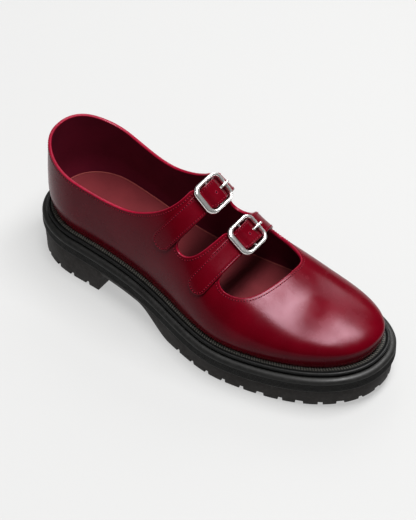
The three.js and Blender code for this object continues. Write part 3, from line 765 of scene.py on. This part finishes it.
UPPER_COLUMNS = 400
UPPER_ROWS = 72
chart, chart_faces = cut_chart(UPPER_COLUMNS, UPPER_ROWS)


def leather_points(angle, rise, distance):
    """Wall of the upper at a distance from the skin, standing on the welt at rise 0."""
    points = offset_skin(angle, rise, distance + relief(angle, rise))
    foot = np.concatenate([
        feather_offset(angle, distance),
        (welt_top(feather(angle)[..., 0]) + GAP * 0.3)[..., None],
    ], -1)
    return mix(foot, points, ease(rise / 0.03)[..., None])


def build_upper():
    """Outer leather and lining from one chart, joined along every edge."""
    outer = leather_points(chart[:, 0], chart[:, 1], np.zeros(len(chart)))
    inner = leather_points(chart[:, 0], chart[:, 1], np.full(len(chart), -WALL))
    count = len(chart)
    faces = list(chart_faces)
    slots = [0] * len(faces)
    faces += [[i + count for i in reversed(face)] for face in chart_faces]
    slots += [1] * len(chart_faces)
    for loop in boundary_loops(chart_faces):
        for a, b in zip(loop, loop[1:] + loop[:1]):
            faces.append([b, a, a + count, b + count])
            slots.append(0)
    upper = make_mesh("upper_shell", np.concatenate([outer, inner]), faces,
                      [upper_leather, lining_leather], slots)
    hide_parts("upper")
    return upper


TOPLINE_SPACING = 0.9
TOPLINE_INSET = 1.75  # stitch row, from the edge
STITCH_CLEAR = 0.9  # stitches keep this far from any edge


def topline_loop():
    """The upper's edge as evenly spaced, slightly smoothed chart points."""
    loops = sorted(boundary_loops(chart_faces), key=lambda loop: -chart[loop, 1].mean())
    loop = chart[loops[0]].copy()
    loop[:, 0] = np.unwrap(loop[:, 0])
    turns = round((loop[-1, 0] - loop[0, 0]) / (2 * np.pi))
    ring = np.concatenate([loop, loop[:1] + [2 * np.pi * turns, 0]])
    points = skin(ring[:, 0], ring[:, 1])
    lengths = np.concatenate([[0], np.cumsum(np.linalg.norm(np.diff(points, axis=0), axis=1))])
    count = int(lengths[-1] / TOPLINE_SPACING)
    at = np.arange(count) / count * lengths[-1]
    even = np.stack([np.interp(at, lengths, ring[:, c]) for c in (0, 1)], -1)
    wind = np.linspace(0, 2 * np.pi * turns, count, endpoint=False)
    return np.stack([smooth_ring(even[:, 0] - wind, 3) + wind, smooth_ring(even[:, 1], 3)], -1)


def smooth_ring(values, reach):
    """Running mean round a closed row of values."""
    return sum(np.roll(values, k, 0) for k in range(-reach, reach + 1)) / (2 * reach + 1)


topline = topline_loop()


def inward(chart_row, distance):
    """Chart points moved over the skin, away from the topline and into the leather."""
    angle, rise = chart_row[:, 0], np.clip(chart_row[:, 1], 0.01, 0.985)
    step = 0.002
    points = skin(angle, rise)
    by_angle = (skin(angle + step, rise) - skin(angle - step, rise)) / (2 * step)
    by_rise = (skin(angle, rise + step) - skin(angle, rise - step)) / (2 * step)
    normal = skin_normal(angle, rise)
    along = unit(np.roll(points, -1, 0) - np.roll(points, 1, 0))
    side = unit(np.cross(normal, along))
    probe = points + side * 2.0
    if np.mean(cleared(probe)) > np.mean(cleared(points - side * 2.0)):
        side = -side
    moved = []
    for i in range(len(angle)):
        basis = np.stack([by_angle[i], by_rise[i]], -1)
        moved.append(np.linalg.lstsq(basis, side[i] * distance, rcond=None)[0])
    return np.stack([angle, rise], -1) + np.array(moved)


def under_straps(points):
    """True where a point of the skin lies under a strap."""
    hidden = np.zeros(len(points), bool)
    for strap in STRAPS:
        lean = math.radians(strap["lean"])
        plane_x = strap["x"] + (points[:, 2] - crown(strap["x"])) * math.tan(lean)
        across = (points[:, 0] - plane_x) * math.cos(lean)
        reach = np.where(points[:, 1] < 0, -strap["tip"], strap["seam"])
        arc = np.hypot(points[:, 1], crown(strap["x"]) - points[:, 2])
        hidden |= (np.abs(across) < STRAP_WIDTH / 2 - 0.6) & (arc < reach * 0.94)
    return hidden


def runs(flags):
    """Start and end of each run of true flags round a closed row, as index arrays."""
    count = len(flags)
    if flags.all():
        return [np.arange(count + 1) % count]
    start = int(np.argmin(flags))
    found = []
    row = []
    for k in range(count + 1):
        i = (start + k) % count
        if flags[i] and k < count:
            row.append(i)
        elif row:
            found.append(np.array(row))
            row = []
    return found


def build_topline():
    """Folded edge of the upper, drawn lighter red as a painted highlight line, and its row of stitches."""
    angle, rise = topline[:, 0], topline[:, 1]
    normal = skin_normal(angle, rise)
    middle = skin(angle, rise) - normal * (WALL / 2)
    # The edge tube's lighter red is a painted highlight.
    binding = tube_piece("topline_edge", middle, normal, WALL / 2 + 0.1, 0.5, 12, True, edge_highlight_leather)
    row = inward(topline, TOPLINE_INSET)
    points = skin(row[:, 0], row[:, 1])
    shown = (cleared(points) < -STITCH_CLEAR) & ~under_straps(points)
    normals = skin_normal(row[:, 0], np.clip(row[:, 1], 0.01, 0.985))
    stitched = Batch()
    raised = points + normals * relief(row[:, 0], row[:, 1])[:, None]
    for chosen in runs(shown):
        if len(chosen) > 6:
            stitches(stitched, raised[chosen], normals[chosen], lift=0.05)
    seam = stitched.build("topline_stitches", [thread, hole_shade_dark])


build_upper()
build_topline()


# ------------------------------------------------------------------ straps
def points_in_plane(strap, rise, medial, across):
    """Chart points in a strap's leaning plane, moved across it."""
    lean = math.radians(strap["lean"])
    top = crown(strap["x"])
    x = np.full(np.broadcast(rise, across).shape, float(strap["x"]))
    sign = np.where(medial, -1.0, 1.0)
    for _ in range(30):
        angle = angle_at(x) * sign
        x = strap["x"] + (skin(angle, rise)[..., 2] - top) * math.tan(lean) + across / math.cos(lean)
    return angle, np.broadcast_to(rise, angle.shape)


def strap_path(strap):
    """Runs along a strap from the crown, medial side positive, with the rise at each."""
    steps = 240
    found_runs = [0.0]
    found_rises = [1.0]
    for medial in (False, True):
        rise = 1 - (1 - GIRTH_AT) * np.arange(1, steps) / steps
        angle, rise = points_in_plane(strap, rise, medial, np.zeros(steps - 1))
        points = np.concatenate([[skin(angle_at(strap["x"]), 1.0)], skin(angle, rise)])
        run = np.cumsum(np.linalg.norm(np.diff(points, axis=0), axis=1))
        found_runs.extend(run if medial else -run)
        found_rises.extend(rise)
    order = np.argsort(found_runs)
    return np.array(found_runs)[order], np.array(found_rises)[order]


def strap_points(strap, run, across, lift):
    run, across, lift = np.broadcast_arrays(
        np.asarray(run, float), np.asarray(across, float), np.asarray(lift, float))
    rise = np.minimum(np.interp(run, *strap["path"]), 0.995)
    angle, rise = points_in_plane(strap, rise, run > 0, across)
    return offset_skin(angle, rise, lift)


def strap_normals(strap, run, across):
    return unit(strap_points(strap, run, across, 1.0) - strap_points(strap, run, across, 0.0))


FRAME_LIFT = 2.2  # underside of a buckle over the skin
BAR_RADIUS = 0.75
FRAME_SIDE = 2.5
FRAME_FACE = 4.1
OVER_BAR = FRAME_LIFT + 2 * BAR_RADIUS + 0.4
OVER_CHAPE = GAP + STRAP_THICK + GAP
PRONG_AT = 6.0
PRONG_RADIUS = 0.85
FRAME_CORNER = 6.0
FRAME_INNER_CORNER = 3.4
EDGE_ROUND = 0.7
STITCH_INSET = 1.5


def rounded_top(distance):
    """Height lost near a rounded leather edge, and in the shallow channel of its stitches."""
    near = np.clip(EDGE_ROUND - distance, 0, EDGE_ROUND)
    rounding = EDGE_ROUND - np.sqrt(np.maximum(EDGE_ROUND ** 2 - near ** 2, 0))
    return rounding + 0.12 * np.exp(-((distance - STITCH_INSET) / 0.45) ** 2)


def band(strap, runs_at, half_at, base_lift, border, lanes=28):
    """Leather strap as a closed sheet; border gives a point's distance from the strap's edge."""
    share = np.sin(np.linspace(-np.pi / 2, np.pi / 2, lanes))
    run = np.broadcast_to(runs_at[:, None], (len(runs_at), lanes))
    across = half_at[:, None] * share[None, :]
    lift = np.broadcast_to(base_lift(runs_at)[:, None], run.shape)
    loss = rounded_top(np.maximum(border(run, across), 0))
    top = strap_points(strap, run, across, lift + STRAP_THICK - loss)
    bottom = strap_points(strap, run, across, lift)
    return slab(top, bottom)


def build_chape(strap):
    """Lateral piece with its rounded stitched end, up to and under the buckle."""
    tip, end, half = strap["tip"], strap["buckle"] + 1.5, STRAP_WIDTH / 2
    t = np.linspace(0, 1, 24)
    nose = tip + half * (1 - np.cos(t * np.pi / 2))
    runs_at = np.concatenate([nose, np.linspace(tip + half, end, 70)[1:]])
    inset = np.clip((tip + half - runs_at) / half, 0, 0.999)
    half_at = np.maximum(half * np.sqrt(1 - inset ** 2), 0.35)

    def border(run, across):
        side = half - np.abs(across)
        round_end = half - np.hypot(run - tip - half, across)
        return np.where(run < tip + half, round_end, side)

    points, faces = band(strap, runs_at, half_at, lambda r: np.full(r.shape, GAP), border)
    piece = make_mesh(f"{strap['name']}_chape_leather", points, faces, [strap_leather])
    clean(piece, 2e-6)
    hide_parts(f"{strap['name']}_chape")
    r = half - STITCH_INSET
    turn = np.linspace(-np.pi / 2, np.pi / 2, 16)
    under = strap["buckle"] - BUCKLE_LONG / 2 + 2
    run = np.concatenate([[under], tip + half - r * np.cos(turn), [under]])
    across = np.concatenate([[-r], r * np.sin(turn), [r]])
    return row_on_strap(strap, run, across, GAP + STRAP_THICK - 0.1)


def row_on_strap(strap, run, across, lift):
    """Fine path over a strap through corner points given as run and across."""
    plan = np.column_stack([run, across])
    (fine,) = resample(plan, 0.5)
    run, across = fine[:, 0], fine[:, 1]
    height = lift(run) if callable(lift) else lift
    return strap_points(strap, run, across, height), strap_normals(strap, run, across)


def billet_lift(strap):
    """Function for the height of a medial strap's underside: over the bar, down on either side."""
    def lift(run):
        a = run - strap["buckle"]
        medial = mix(OVER_BAR, GAP, ease((a - 3) / 6))
        lateral = mix(OVER_BAR, OVER_CHAPE, ease((-a - 2) / 5))
        return np.where(a > 0, medial, lateral)
    return lift


def billet_half(strap, run):
    """Half width of a medial strap, a little less at its end inside the frame."""
    a = run - strap["buckle"]
    return BILLET_WIDTH / 2 - 1.2 * ease((-a - 4.5) / 2.5)


def build_billet(strap):
    """Medial piece from its stitched seam through the buckle."""
    start = strap["buckle"] - BUCKLE_LONG / 2 + FRAME_FACE + 3 * GAP
    end = strap["seam"]
    runs_at = np.linspace(start, end, 110)

    def border(run, across):
        side = billet_half(strap, run) - np.abs(across)
        return np.minimum(np.minimum(side, run - start + 0.3), end - run + 0.25)

    points, faces = band(strap, runs_at, billet_half(strap, runs_at), billet_lift(strap), border)
    piece = make_mesh(f"{strap['name']}_billet_leather", points, faces, [strap_leather])
    clean(piece, 2e-6)
    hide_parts(f"{strap['name']}_billet")
    surface = billet_lift(strap)
    rows = []
    for side in (-1, 1):
        inside = np.linspace(start + 1.2, end - 1.2, 80)
        across = side * (billet_half(strap, inside) - STITCH_INSET)
        rows.append(row_on_strap(strap, inside, across, lambda r: surface(r) + STRAP_THICK - 0.1))
    reach = BILLET_WIDTH / 2 - STITCH_INSET
    rows.append(row_on_strap(strap, np.full(2, end - 1.5), np.array([-reach, reach]),
                             GAP + STRAP_THICK - 0.1))
    return rows


def build_holes(strap):
    """Hole marks painted dark as the holes' shade, each in a pressed ring drawn lighter red as a painted
    highlight: the prong's own and a spare one.
    """
    batch = Batch()
    surface = billet_lift(strap)
    for offset in (0.6, 17.5):
        run = strap["buckle"] + offset
        height = float(surface(np.array(run))) + STRAP_THICK
        centre = strap_points(strap, run, 0.3, height)
        normal = strap_normals(strap, run, 0.3)
        # Dark disc: painted shade inside the strap hole.
        disc(batch, centre, normal, 0.75, lift=0.03, slot=1, sides=16)
        helper = unit(strap_points(strap, run + 1, 0.3, height) - centre)
        side = np.cross(normal, helper)
        turn = np.linspace(0, 2 * np.pi, 20, endpoint=False)
        ring = centre + 0.95 * (np.cos(turn)[:, None] * helper + np.sin(turn)[:, None] * side)
        # Ring in the lighter edge red: a painted highlight round the hole.
        tube(batch, ring + normal * 0.02, np.repeat(normal[None], 20, 0), 0.2, 0.24, 8, True)
    piece = batch.build(f"{strap['name']}_strap_holes", [edge_highlight_leather, hole_shade_dark])


def build_cut_edge(strap):
    """Pale cut edge at the strap's sewn end: partly the raw edge's own tan, partly a painted highlight."""
    half = BILLET_WIDTH / 2 - 0.2
    path, normals = row_on_strap(strap, np.full(2, strap["seam"] - 0.1), np.array([-half, half]), GAP + 0.8)
    piece = tube_piece(f"{strap['name']}_pale_edge_and_highlight", path, normals, 0.75, 0.3, 8, False, pale_edge_and_highlight)


# ------------------------------------------------------------------ buckles
def buckle_space(strap):
    """Function from a buckle's own across, along and out to the shoe, and its outward direction."""
    run = strap["buckle"]
    middle = strap_points(strap, run, 0, FRAME_LIFT)
    along = unit(strap_points(strap, run + 2, 0, FRAME_LIFT) - strap_points(strap, run - 2, 0, FRAME_LIFT))
    across = unit(strap_points(strap, run, 2, FRAME_LIFT) - strap_points(strap, run, -2, FRAME_LIFT))
    out = unit(np.cross(across, along))
    across = np.cross(along, out)

    def to_shoe(points):
        return middle + points[:, :1] * across + points[:, 1:2] * along + points[:, 2:] * out
    return to_shoe, out


def rounded_rectangle(x0, y0, x1, y1, radius, per_corner=14, per_side=10):
    """Points round a rectangle with round corners, the same number for any size."""
    centres = ((x1 - radius, y0 + radius), (x1 - radius, y1 - radius),
               (x0 + radius, y1 - radius), (x0 + radius, y0 + radius))
    points = []
    for k, (cx, cy) in enumerate(centres):
        turn = -np.pi / 2 + k * np.pi / 2 + np.linspace(0, np.pi / 2, per_corner)
        arc = np.column_stack([cx + radius * np.cos(turn), cy + radius * np.sin(turn)])
        points.append(arc)
        nx, ny = centres[(k + 1) % 4]
        start_turn = -np.pi / 2 + (k + 1) * np.pi / 2
        following = np.array([nx + radius * math.cos(start_turn), ny + radius * math.sin(start_turn)])
        t = np.linspace(0, 1, per_side + 2)[1:-1, None]
        points.append(arc[-1] * (1 - t) + following * t)
    return np.concatenate(points)


def build_buckle(strap):
    """Polished frame, broad and bevelled on its lateral bar, with a centre bar."""
    to_shoe, out = buckle_space(strap)
    wide, long = BUCKLE_WIDE / 2, BUCKLE_LONG / 2
    outer = rounded_rectangle(-wide, -long, wide, long, FRAME_CORNER)
    inner = rounded_rectangle(-wide + FRAME_SIDE, -long + FRAME_FACE,
                              wide - FRAME_SIDE, long - FRAME_SIDE, FRAME_INNER_CORNER)
    turn = np.linspace(0, 2 * np.pi, 20, endpoint=False)
    share = 0.5 - 0.5 * np.cos(turn)
    profile = np.sin(turn)
    height = np.where(profile > 0, 0.9 + 1.7 * np.abs(profile) ** 0.9, 0.9 - 0.9 * np.abs(profile) ** 0.6)
    rings = []
    for s, h in zip(share, height):
        plan = outer + (inner - outer) * s
        arch = 0.35 * np.cos(np.pi / 2 * plan[:, 1] / long)
        level = np.full(len(plan), h) * 0.95 + arch * (h > 0.9) * 0.4
        rings.append(to_shoe(np.column_stack([plan, level])))
    batch = Batch()
    batch.add(np.concatenate(rings), loft_faces(len(rings), len(outer), True, True))
    ends = np.linspace(-wide + FRAME_SIDE / 2, wide - FRAME_SIDE / 2, 6)
    bar = to_shoe(np.column_stack([ends, np.zeros(6), np.full(6, BAR_RADIUS + 0.05)]))
    tube(batch, bar, np.repeat(out[None], 6, 0), BAR_RADIUS, BAR_RADIUS, 14, False)
    piece = batch.build(f"{strap['name']}_buckle_frame", [buckle_steel])
    clean(piece, 1e-7)
    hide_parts(f"{strap['name']}_buckle")


def build_prong(strap):
    """Prong from the centre bar, up through the strap and over the medial bar."""
    to_shoe, out = buckle_space(strap)
    radius, long = PRONG_RADIUS, BUCKLE_LONG / 2
    top = BUCKLE_THICK + radius + 0.1
    knots = np.array([
        (0, BAR_RADIUS + radius + 0.2, 0.4), (0, PRONG_AT - 2.2, 0.6), (0, PRONG_AT + 0.1, 2.2),
        (0, PRONG_AT + 2.4, top - 0.15), (0, long - FRAME_SIDE, top), (0, long + 0.1, top - 0.05),
        (0, long + 0.9, top - 0.5)])
    fine = smooth_outline(knots[:, 1], knots[:, 2], [], steps=6)
    path = to_shoe(np.column_stack([np.zeros(len(fine)), fine]))
    end = np.linspace(0, 1, len(path))
    slim = np.where(end > 0.9, np.sqrt(np.maximum(1 - ((end - 0.9) / 0.1) ** 2, 0.05)), 1.0)
    outward = np.repeat(out[None], len(path), 0)
    prong = tube_piece(f"{strap['name']}_prong_pin", path, outward, 0.72 * slim, radius * slim, 12, False,
                       buckle_steel)
    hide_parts(f"{strap['name']}_prong")


for strap in STRAPS:
    strap["path"] = strap_path(strap)
    batch = Batch()
    for path, normals in [build_chape(strap), *build_billet(strap)]:
        stitches(batch, path, normals)
    seam = batch.build(f"{strap['name']}_strap_stitches", [thread, hole_shade_dark])
    build_holes(strap)
    build_cut_edge(strap)
    build_buckle(strap)
    build_prong(strap)


# ------------------------------------------------------------------ quarter seam
def build_quarter_seam():
    """Fine seam down the medial waist, from the keyhole to the welt."""
    rise = np.linspace(0.08, 0.62, 60)
    angle = 2 * np.pi - angle_at(141 - 6 * rise)
    rise = rise[cleared(skin(angle, rise)) < -0.5]
    angle = 2 * np.pi - angle_at(141 - 6 * rise)
    piece = tube_piece("quarter_seam", skin(angle, rise), skin_normal(angle, rise), 0.22, 0.3, 8, False,
                       upper_leather)


build_quarter_seam()


# ------------------------------------------------------------------ insole
def insole_top(x):
    return welt_top(x) + GAP + INSOLE_THICK


def build_insole():
    """Leather sock, a little dished, with the lining's seam round its edge, drawn pale as a painted
    highlight.
    """
    half = np.linspace(0.03, np.pi - 0.03, 120)
    lateral = feather_offset(half, -WALL - 0.4)
    medial = feather_offset(2 * np.pi - half, -WALL - 0.4)
    t = 0.5 - 0.5 * np.cos(np.linspace(0, np.pi, 26))
    plan = lateral[:, None, :] * (1 - t)[None, :, None] + medial[:, None, :] * t[None, :, None]
    edge = np.minimum(t, 1 - t)[None, :] * np.linalg.norm(medial - lateral, axis=1)[:, None]
    ends = np.minimum(half, np.pi - half)[:, None] * 60
    dish = 0.9 * np.exp(-np.minimum(edge, ends) / 7.0) - 0.9
    heights = insole_top(plan[..., 0]) + dish
    top = np.concatenate([plan, heights[..., None]], -1)
    bottom = np.concatenate([plan, (welt_top(plan[..., 0]) + GAP)[..., None]], -1)
    points, faces = slab(top, bottom)
    piece = make_mesh("insole_sock", points, faces, [insole_leather])
    clean(piece)
    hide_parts("insole")
    angles = even_angles(420)
    path = feather_offset(angles, -WALL - 0.75)
    path = np.column_stack([path, insole_top(path[:, 0]) + 0.15])
    upright = np.repeat([[0, 0, 1.0]], len(path), 0)
    # The seam's pale colour is a painted highlight where the lining meets the insole.
    seam = tube_piece("insole_edge_seam_and_highlight", path, upright, 0.35, 0.45, 8, True, pale_edge_and_highlight)


build_insole()


# ------------------------------------------------------------------ welt, midsole and outsole
SOLE_COLUMNS = 480
sole_angles = even_angles(SOLE_COLUMNS)
KNURLS = 330
FOREFOOT_FROM = 138.0  # side notches run in front of this station
HEEL_TO = 58.0  # and behind this one
WIDE_FROM = 205.0  # every second notch is wide in front of this one


def above(height, lift):
    """Height function raised by a lift."""
    return lambda x: height(x) + lift


def build_welt():
    """Ring with a knurled band beside the upper, drawn lighter grey partly as painted light, and a rounded
    bead outside it.
    """
    bead_out, bead_high = 1.05, 1.35
    profile = [(-6.0, welt_bottom), (WELT_REACH - 0.9, welt_bottom)]
    for turn in np.linspace(-60, 200, 12):
        reach = WELT_REACH - bead_out + bead_out * math.cos(math.radians(turn))
        rise = -1.45 + bead_high * math.sin(math.radians(turn))
        profile.append((reach, above(welt_top, rise)))
    profile += [(WELT_REACH - 2 * bead_out - 0.2, above(welt_top, -0.8)),
                (WELT_REACH - 2 * bead_out - 0.5, above(welt_top, -0.35)),
                (-6.0, above(welt_top, -0.35))]
    ring = ring_body("welt_ring", profile, sole_angles, [welt_rubber])
    clean(ring, 1e-7)
    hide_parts("welt")
    knurls = Batch()
    inner, outer = -0.4, WELT_REACH - 2 * bead_out - 0.45
    half_width, slope = 0.55, 0.35
    section = [(inner, -0.5), (outer, -0.5), (outer - 0.25, 0.08), (inner, 0.08)]
    faces = [[0, 1, 2, 3], [7, 6, 5, 4], [0, 4, 5, 1], [1, 5, 6, 2], [2, 6, 7, 3], [3, 7, 4, 0]]
    for angle in even_angles(KNURLS):
        along = unit(feather(angle + 0.01) - feather(angle - 0.01))
        corners = []
        for side in (-half_width, half_width):
            for reach, lift in section:
                at = feather_offset(angle, reach) + along * (side + slope * reach)
                corners.append((*at, welt_top(at[0]) + lift))
        knurls.add(corners, faces)
    # The knurls' light grey is partly painted light against the shade under the upper.
    piece = knurls.build("welt_knurls", [knurl_rubber_grey_and_painted_light])


def build_midsole():
    """Thick layer with a smooth rounded shoulder and fine level ribs on its wall."""
    profile = [(0.0, midsole_bottom), (MIDSOLE_REACH - 1.2, midsole_bottom),
               (MIDSOLE_REACH - 0.5, above(midsole_bottom, 0.25)),
               (MIDSOLE_REACH - 0.1, above(midsole_bottom, 0.8))]
    ribs, rib_steps, rib_depth, shoulder = 5, 6, 0.3, 3.2
    low, high = 1.4, MIDSOLE_THICK - 3.4
    for k in range(ribs * rib_steps + 1):
        wave = 0.5 - 0.5 * math.cos(2 * math.pi * k / rib_steps)
        level = above(midsole_bottom, mix(low, high, k / (ribs * rib_steps)))
        profile.append((MIDSOLE_REACH - rib_depth * wave ** 0.7, level))
    for turn in np.linspace(0, 90, 10):
        reach = MIDSOLE_REACH - shoulder + shoulder * math.cos(math.radians(turn))
        profile.append((reach, above(midsole_top, -2.9 + 2.9 * math.sin(math.radians(turn)))))
    profile += [(MIDSOLE_REACH - 4.6, above(midsole_top, -0.5)), (0.0, above(midsole_top, -0.5))]
    ring = ring_body("midsole_layer", profile, sole_angles, [midsole_rubber])
    clean(ring, 1e-7)
    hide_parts("midsole")


def cap_ring(faces, first, count):
    """Adds strips across a ring that starts at an index, pairing its two sides."""
    for i in range(count // 2):
        a, b = i, i + 1
        c, d = (count - i - 1) % count, (count - i) % count
        corners = [a, b, c, d] if i > 0 else [a, b, c]
        corners = [first + k for k in dict.fromkeys(corners)]
        if len(corners) > 2:
            faces.append(corners)


def build_outsole():
    """Tread layer with side notches and cross grooves cut out of it."""
    profile = [
        (OUTSOLE_REACH - 1.0, tread_height),
        (OUTSOLE_REACH - 0.35, above(tread_height, 0.3)),
        (OUTSOLE_REACH - 0.1, above(tread_height, 1.0)),
        (OUTSOLE_REACH, lambda x: mix(tread_height(x), outsole_top(x), 0.25)),
        (OUTSOLE_REACH + 0.8, above(outsole_top, -0.7)),
        (OUTSOLE_REACH + 0.6, above(outsole_top, -0.2)),
        (OUTSOLE_REACH + 0.1, outsole_top),
    ]
    rings = [sole_ring(sole_angles, reach, height) for reach, height in profile]
    faces = loft_faces(len(rings), SOLE_COLUMNS, True, False)
    cap_ring(faces, 0, SOLE_COLUMNS)
    cap_ring(faces, (len(rings) - 1) * SOLE_COLUMNS, SOLE_COLUMNS)
    sole = make_mesh("outsole_tread", np.concatenate(rings), faces, [outsole_rubber])
    clean(sole, 1e-7)
    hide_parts("outsole")
    cutters = Batch()
    for centre, direction, length, width in notch_places():
        top = float(tread_height(np.array(centre[0]))) + NOTCH_DEPTH
        side = np.array([-direction[1], direction[0]])
        corners = []
        for z, spread in ((-3.0, 1.12), (top, 0.9)):
            for u, v in ((-1, -1), (1, -1), (1, 1), (-1, 1)):
                at = centre + direction * (u * length / 2) + side * (v * width / 2 * spread)
                corners.append((*at, z))
        box = [[3, 2, 1, 0], [4, 5, 6, 7], [0, 1, 5, 4], [1, 2, 6, 5], [2, 3, 7, 6], [3, 0, 4, 7]]
        cutters.add(corners, box)
    tool = cutters.build("tread_cutters", [outsole_rubber])
    cut = sole.modifiers.new("notches", "BOOLEAN")
    cut.object = tool
    cut.operation = "DIFFERENCE"
    cut.solver = "EXACT"
    cut.use_self = True
    evaluated = sole.evaluated_get(bpy.context.evaluated_depsgraph_get())
    result = bpy.data.meshes.new_from_object(evaluated)
    sole.modifiers.clear()
    sole.data = result
    bpy.data.objects.remove(tool)
    result.set_sharp_from_angle(angle=math.radians(35))


def notch_places():
    """Centre, direction, length and width of each notch and cross groove."""
    places = []
    angles = even_angles(960)
    x = feather(angles)[:, 0]
    front = angles[x > FOREFOOT_FROM]
    back = angles[x < HEEL_TO]
    back = back[np.argsort((back + np.pi) % (2 * np.pi))]
    for run, is_front in ((front, True), (back, False)):
        travelled = NOTCH_PITCH / 2
        number = 0
        before = feather_offset(run[0], OUTSOLE_REACH)
        for angle in run:
            here = feather_offset(angle, OUTSOLE_REACH)
            travelled += np.linalg.norm(here - before)
            before = here
            if travelled < NOTCH_PITCH:
                continue
            travelled -= NOTCH_PITCH
            number += 1
            wide = is_front and feather(angle)[0] > WIDE_FROM and number % 2 == 0
            inner = feather_offset(angle, OUTSOLE_REACH - NOTCH_RUN)
            centre = feather_offset(angle, OUTSOLE_REACH - NOTCH_RUN / 2 + 2)
            width = NOTCH_WIDE if wide else NOTCH_NARROW
            places.append((centre, unit(here - inner), NOTCH_RUN + 4, width))
    for station, length in GROOVES:
        angle = angle_at(station)
        centre = np.array([station, (feather(angle)[1] + feather(-angle)[1]) / 2])
        places.append((centre, np.array([0.0, 1.0]), length, GROOVE_WIDTH))
    return places


build_welt()
build_midsole()
build_outsole()


# ------------------------------------------------------------------ studio
FLOOR_SIZE = 14.0
PAPER_WHITE = (0.98, 0.98, 0.975)
PAPER_GLOW = 0.42
CAMERA_AZIMUTH = math.radians(36.8)  # round from the outer side toward the toe
CAMERA_ELEVATION = math.radians(45.1)
CAMERA_DISTANCE = 1.6
CAMERA_LENS = 212
CAMERA_TARGET = Vector((0.0, 0.0, 0.045))
LIGHT_TARGET = Vector((0.05, 0, 0.04))
FILL_DIRECTIONS = ((-0.9, -0.7, 0.8), (0.7, -0.9, 0.8), (-1.0, 0.5, 0.9))
FILL_POWER = 11
WORLD_STRENGTH = 0.06


def build_floor():
    """Pale paper floor that glows a little by itself, so that shadows stay light."""
    mesh = bpy.data.meshes.new("studio_floor")
    half = FLOOR_SIZE / 2
    corners = [(-half, -half, 0), (half, -half, 0), (half, half, 0), (-half, half, 0)]
    mesh.from_pydata(corners, [], [[0, 1, 2, 3]])
    floor = bpy.data.objects.new("studio_floor", mesh)
    bpy.context.collection.objects.link(floor)
    material, shader = principled("studio_paper", scaled(PAPER_WHITE, 0.15), 0.9, ior=1.0)
    shader.inputs["Emission Color"].default_value = (*PAPER_WHITE, 1)
    shader.inputs["Emission Strength"].default_value = PAPER_GLOW
    fibre = noise(material, 900, detail=2)
    bump(material, shader, fibre, 0.05, 0.0001)
    mesh.materials.append(material)


def area_light(name, direction, distance, size, power):
    """Softbox in a direction from the shoe, facing it, its first size running along X."""
    light = bpy.data.lights.new(name, "AREA")
    light.shape = "RECTANGLE"
    light.size, light.size_y = size
    light.energy = power
    thing = bpy.data.objects.new(name, light)
    bpy.context.collection.objects.link(thing)
    aim = Vector(direction).normalized()
    thing.location = LIGHT_TARGET + aim * distance
    sideways = (Vector((1, 0, 0)) - aim * aim.x).normalized()
    thing.rotation_euler = Matrix((sideways, aim.cross(sideways), aim)).transposed().to_euler()
    return thing


build_floor()
area_light("overhead_softbox", (0.165, 0.10, 1.0), 1.6, (0.41, 1.4), 54)
area_light("back_softbox", (-0.5, 1.0, 0.85), 2.0, (1.5, 0.9), 19)
for number, direction in enumerate(FILL_DIRECTIONS):
    fill = area_light(f"fill_{number}", direction, 2.4, (2.2, 2.2), FILL_POWER)
    fill.visible_glossy = False

world = bpy.data.worlds.new("studio_world")
world.use_nodes = True
world.node_tree.nodes["Background"].inputs["Color"].default_value = (1, 1, 1, 1)
world.node_tree.nodes["Background"].inputs["Strength"].default_value = WORLD_STRENGTH
bpy.context.scene.world = world

camera_data = bpy.data.cameras.new("camera")
camera_data.sensor_fit = "HORIZONTAL"
camera_data.sensor_width = 36
camera_data.lens = CAMERA_LENS
camera_data.clip_start = 0.05
camera_data.clip_end = 50
camera = bpy.data.objects.new("camera", camera_data)
bpy.context.collection.objects.link(camera)
camera_back = Vector((math.sin(CAMERA_AZIMUTH) * math.cos(CAMERA_ELEVATION),
                      -math.cos(CAMERA_AZIMUTH) * math.cos(CAMERA_ELEVATION),
                      math.sin(CAMERA_ELEVATION)))
camera.location = CAMERA_TARGET + camera_back * CAMERA_DISTANCE
camera.rotation_euler = (-camera_back).to_track_quat("-Z", "Y").to_euler()
bpy.context.scene.camera = camera
bpy.context.scene.view_settings.view_transform = "Standard"
bpy.context.scene.view_settings.look = "Medium High Contrast"
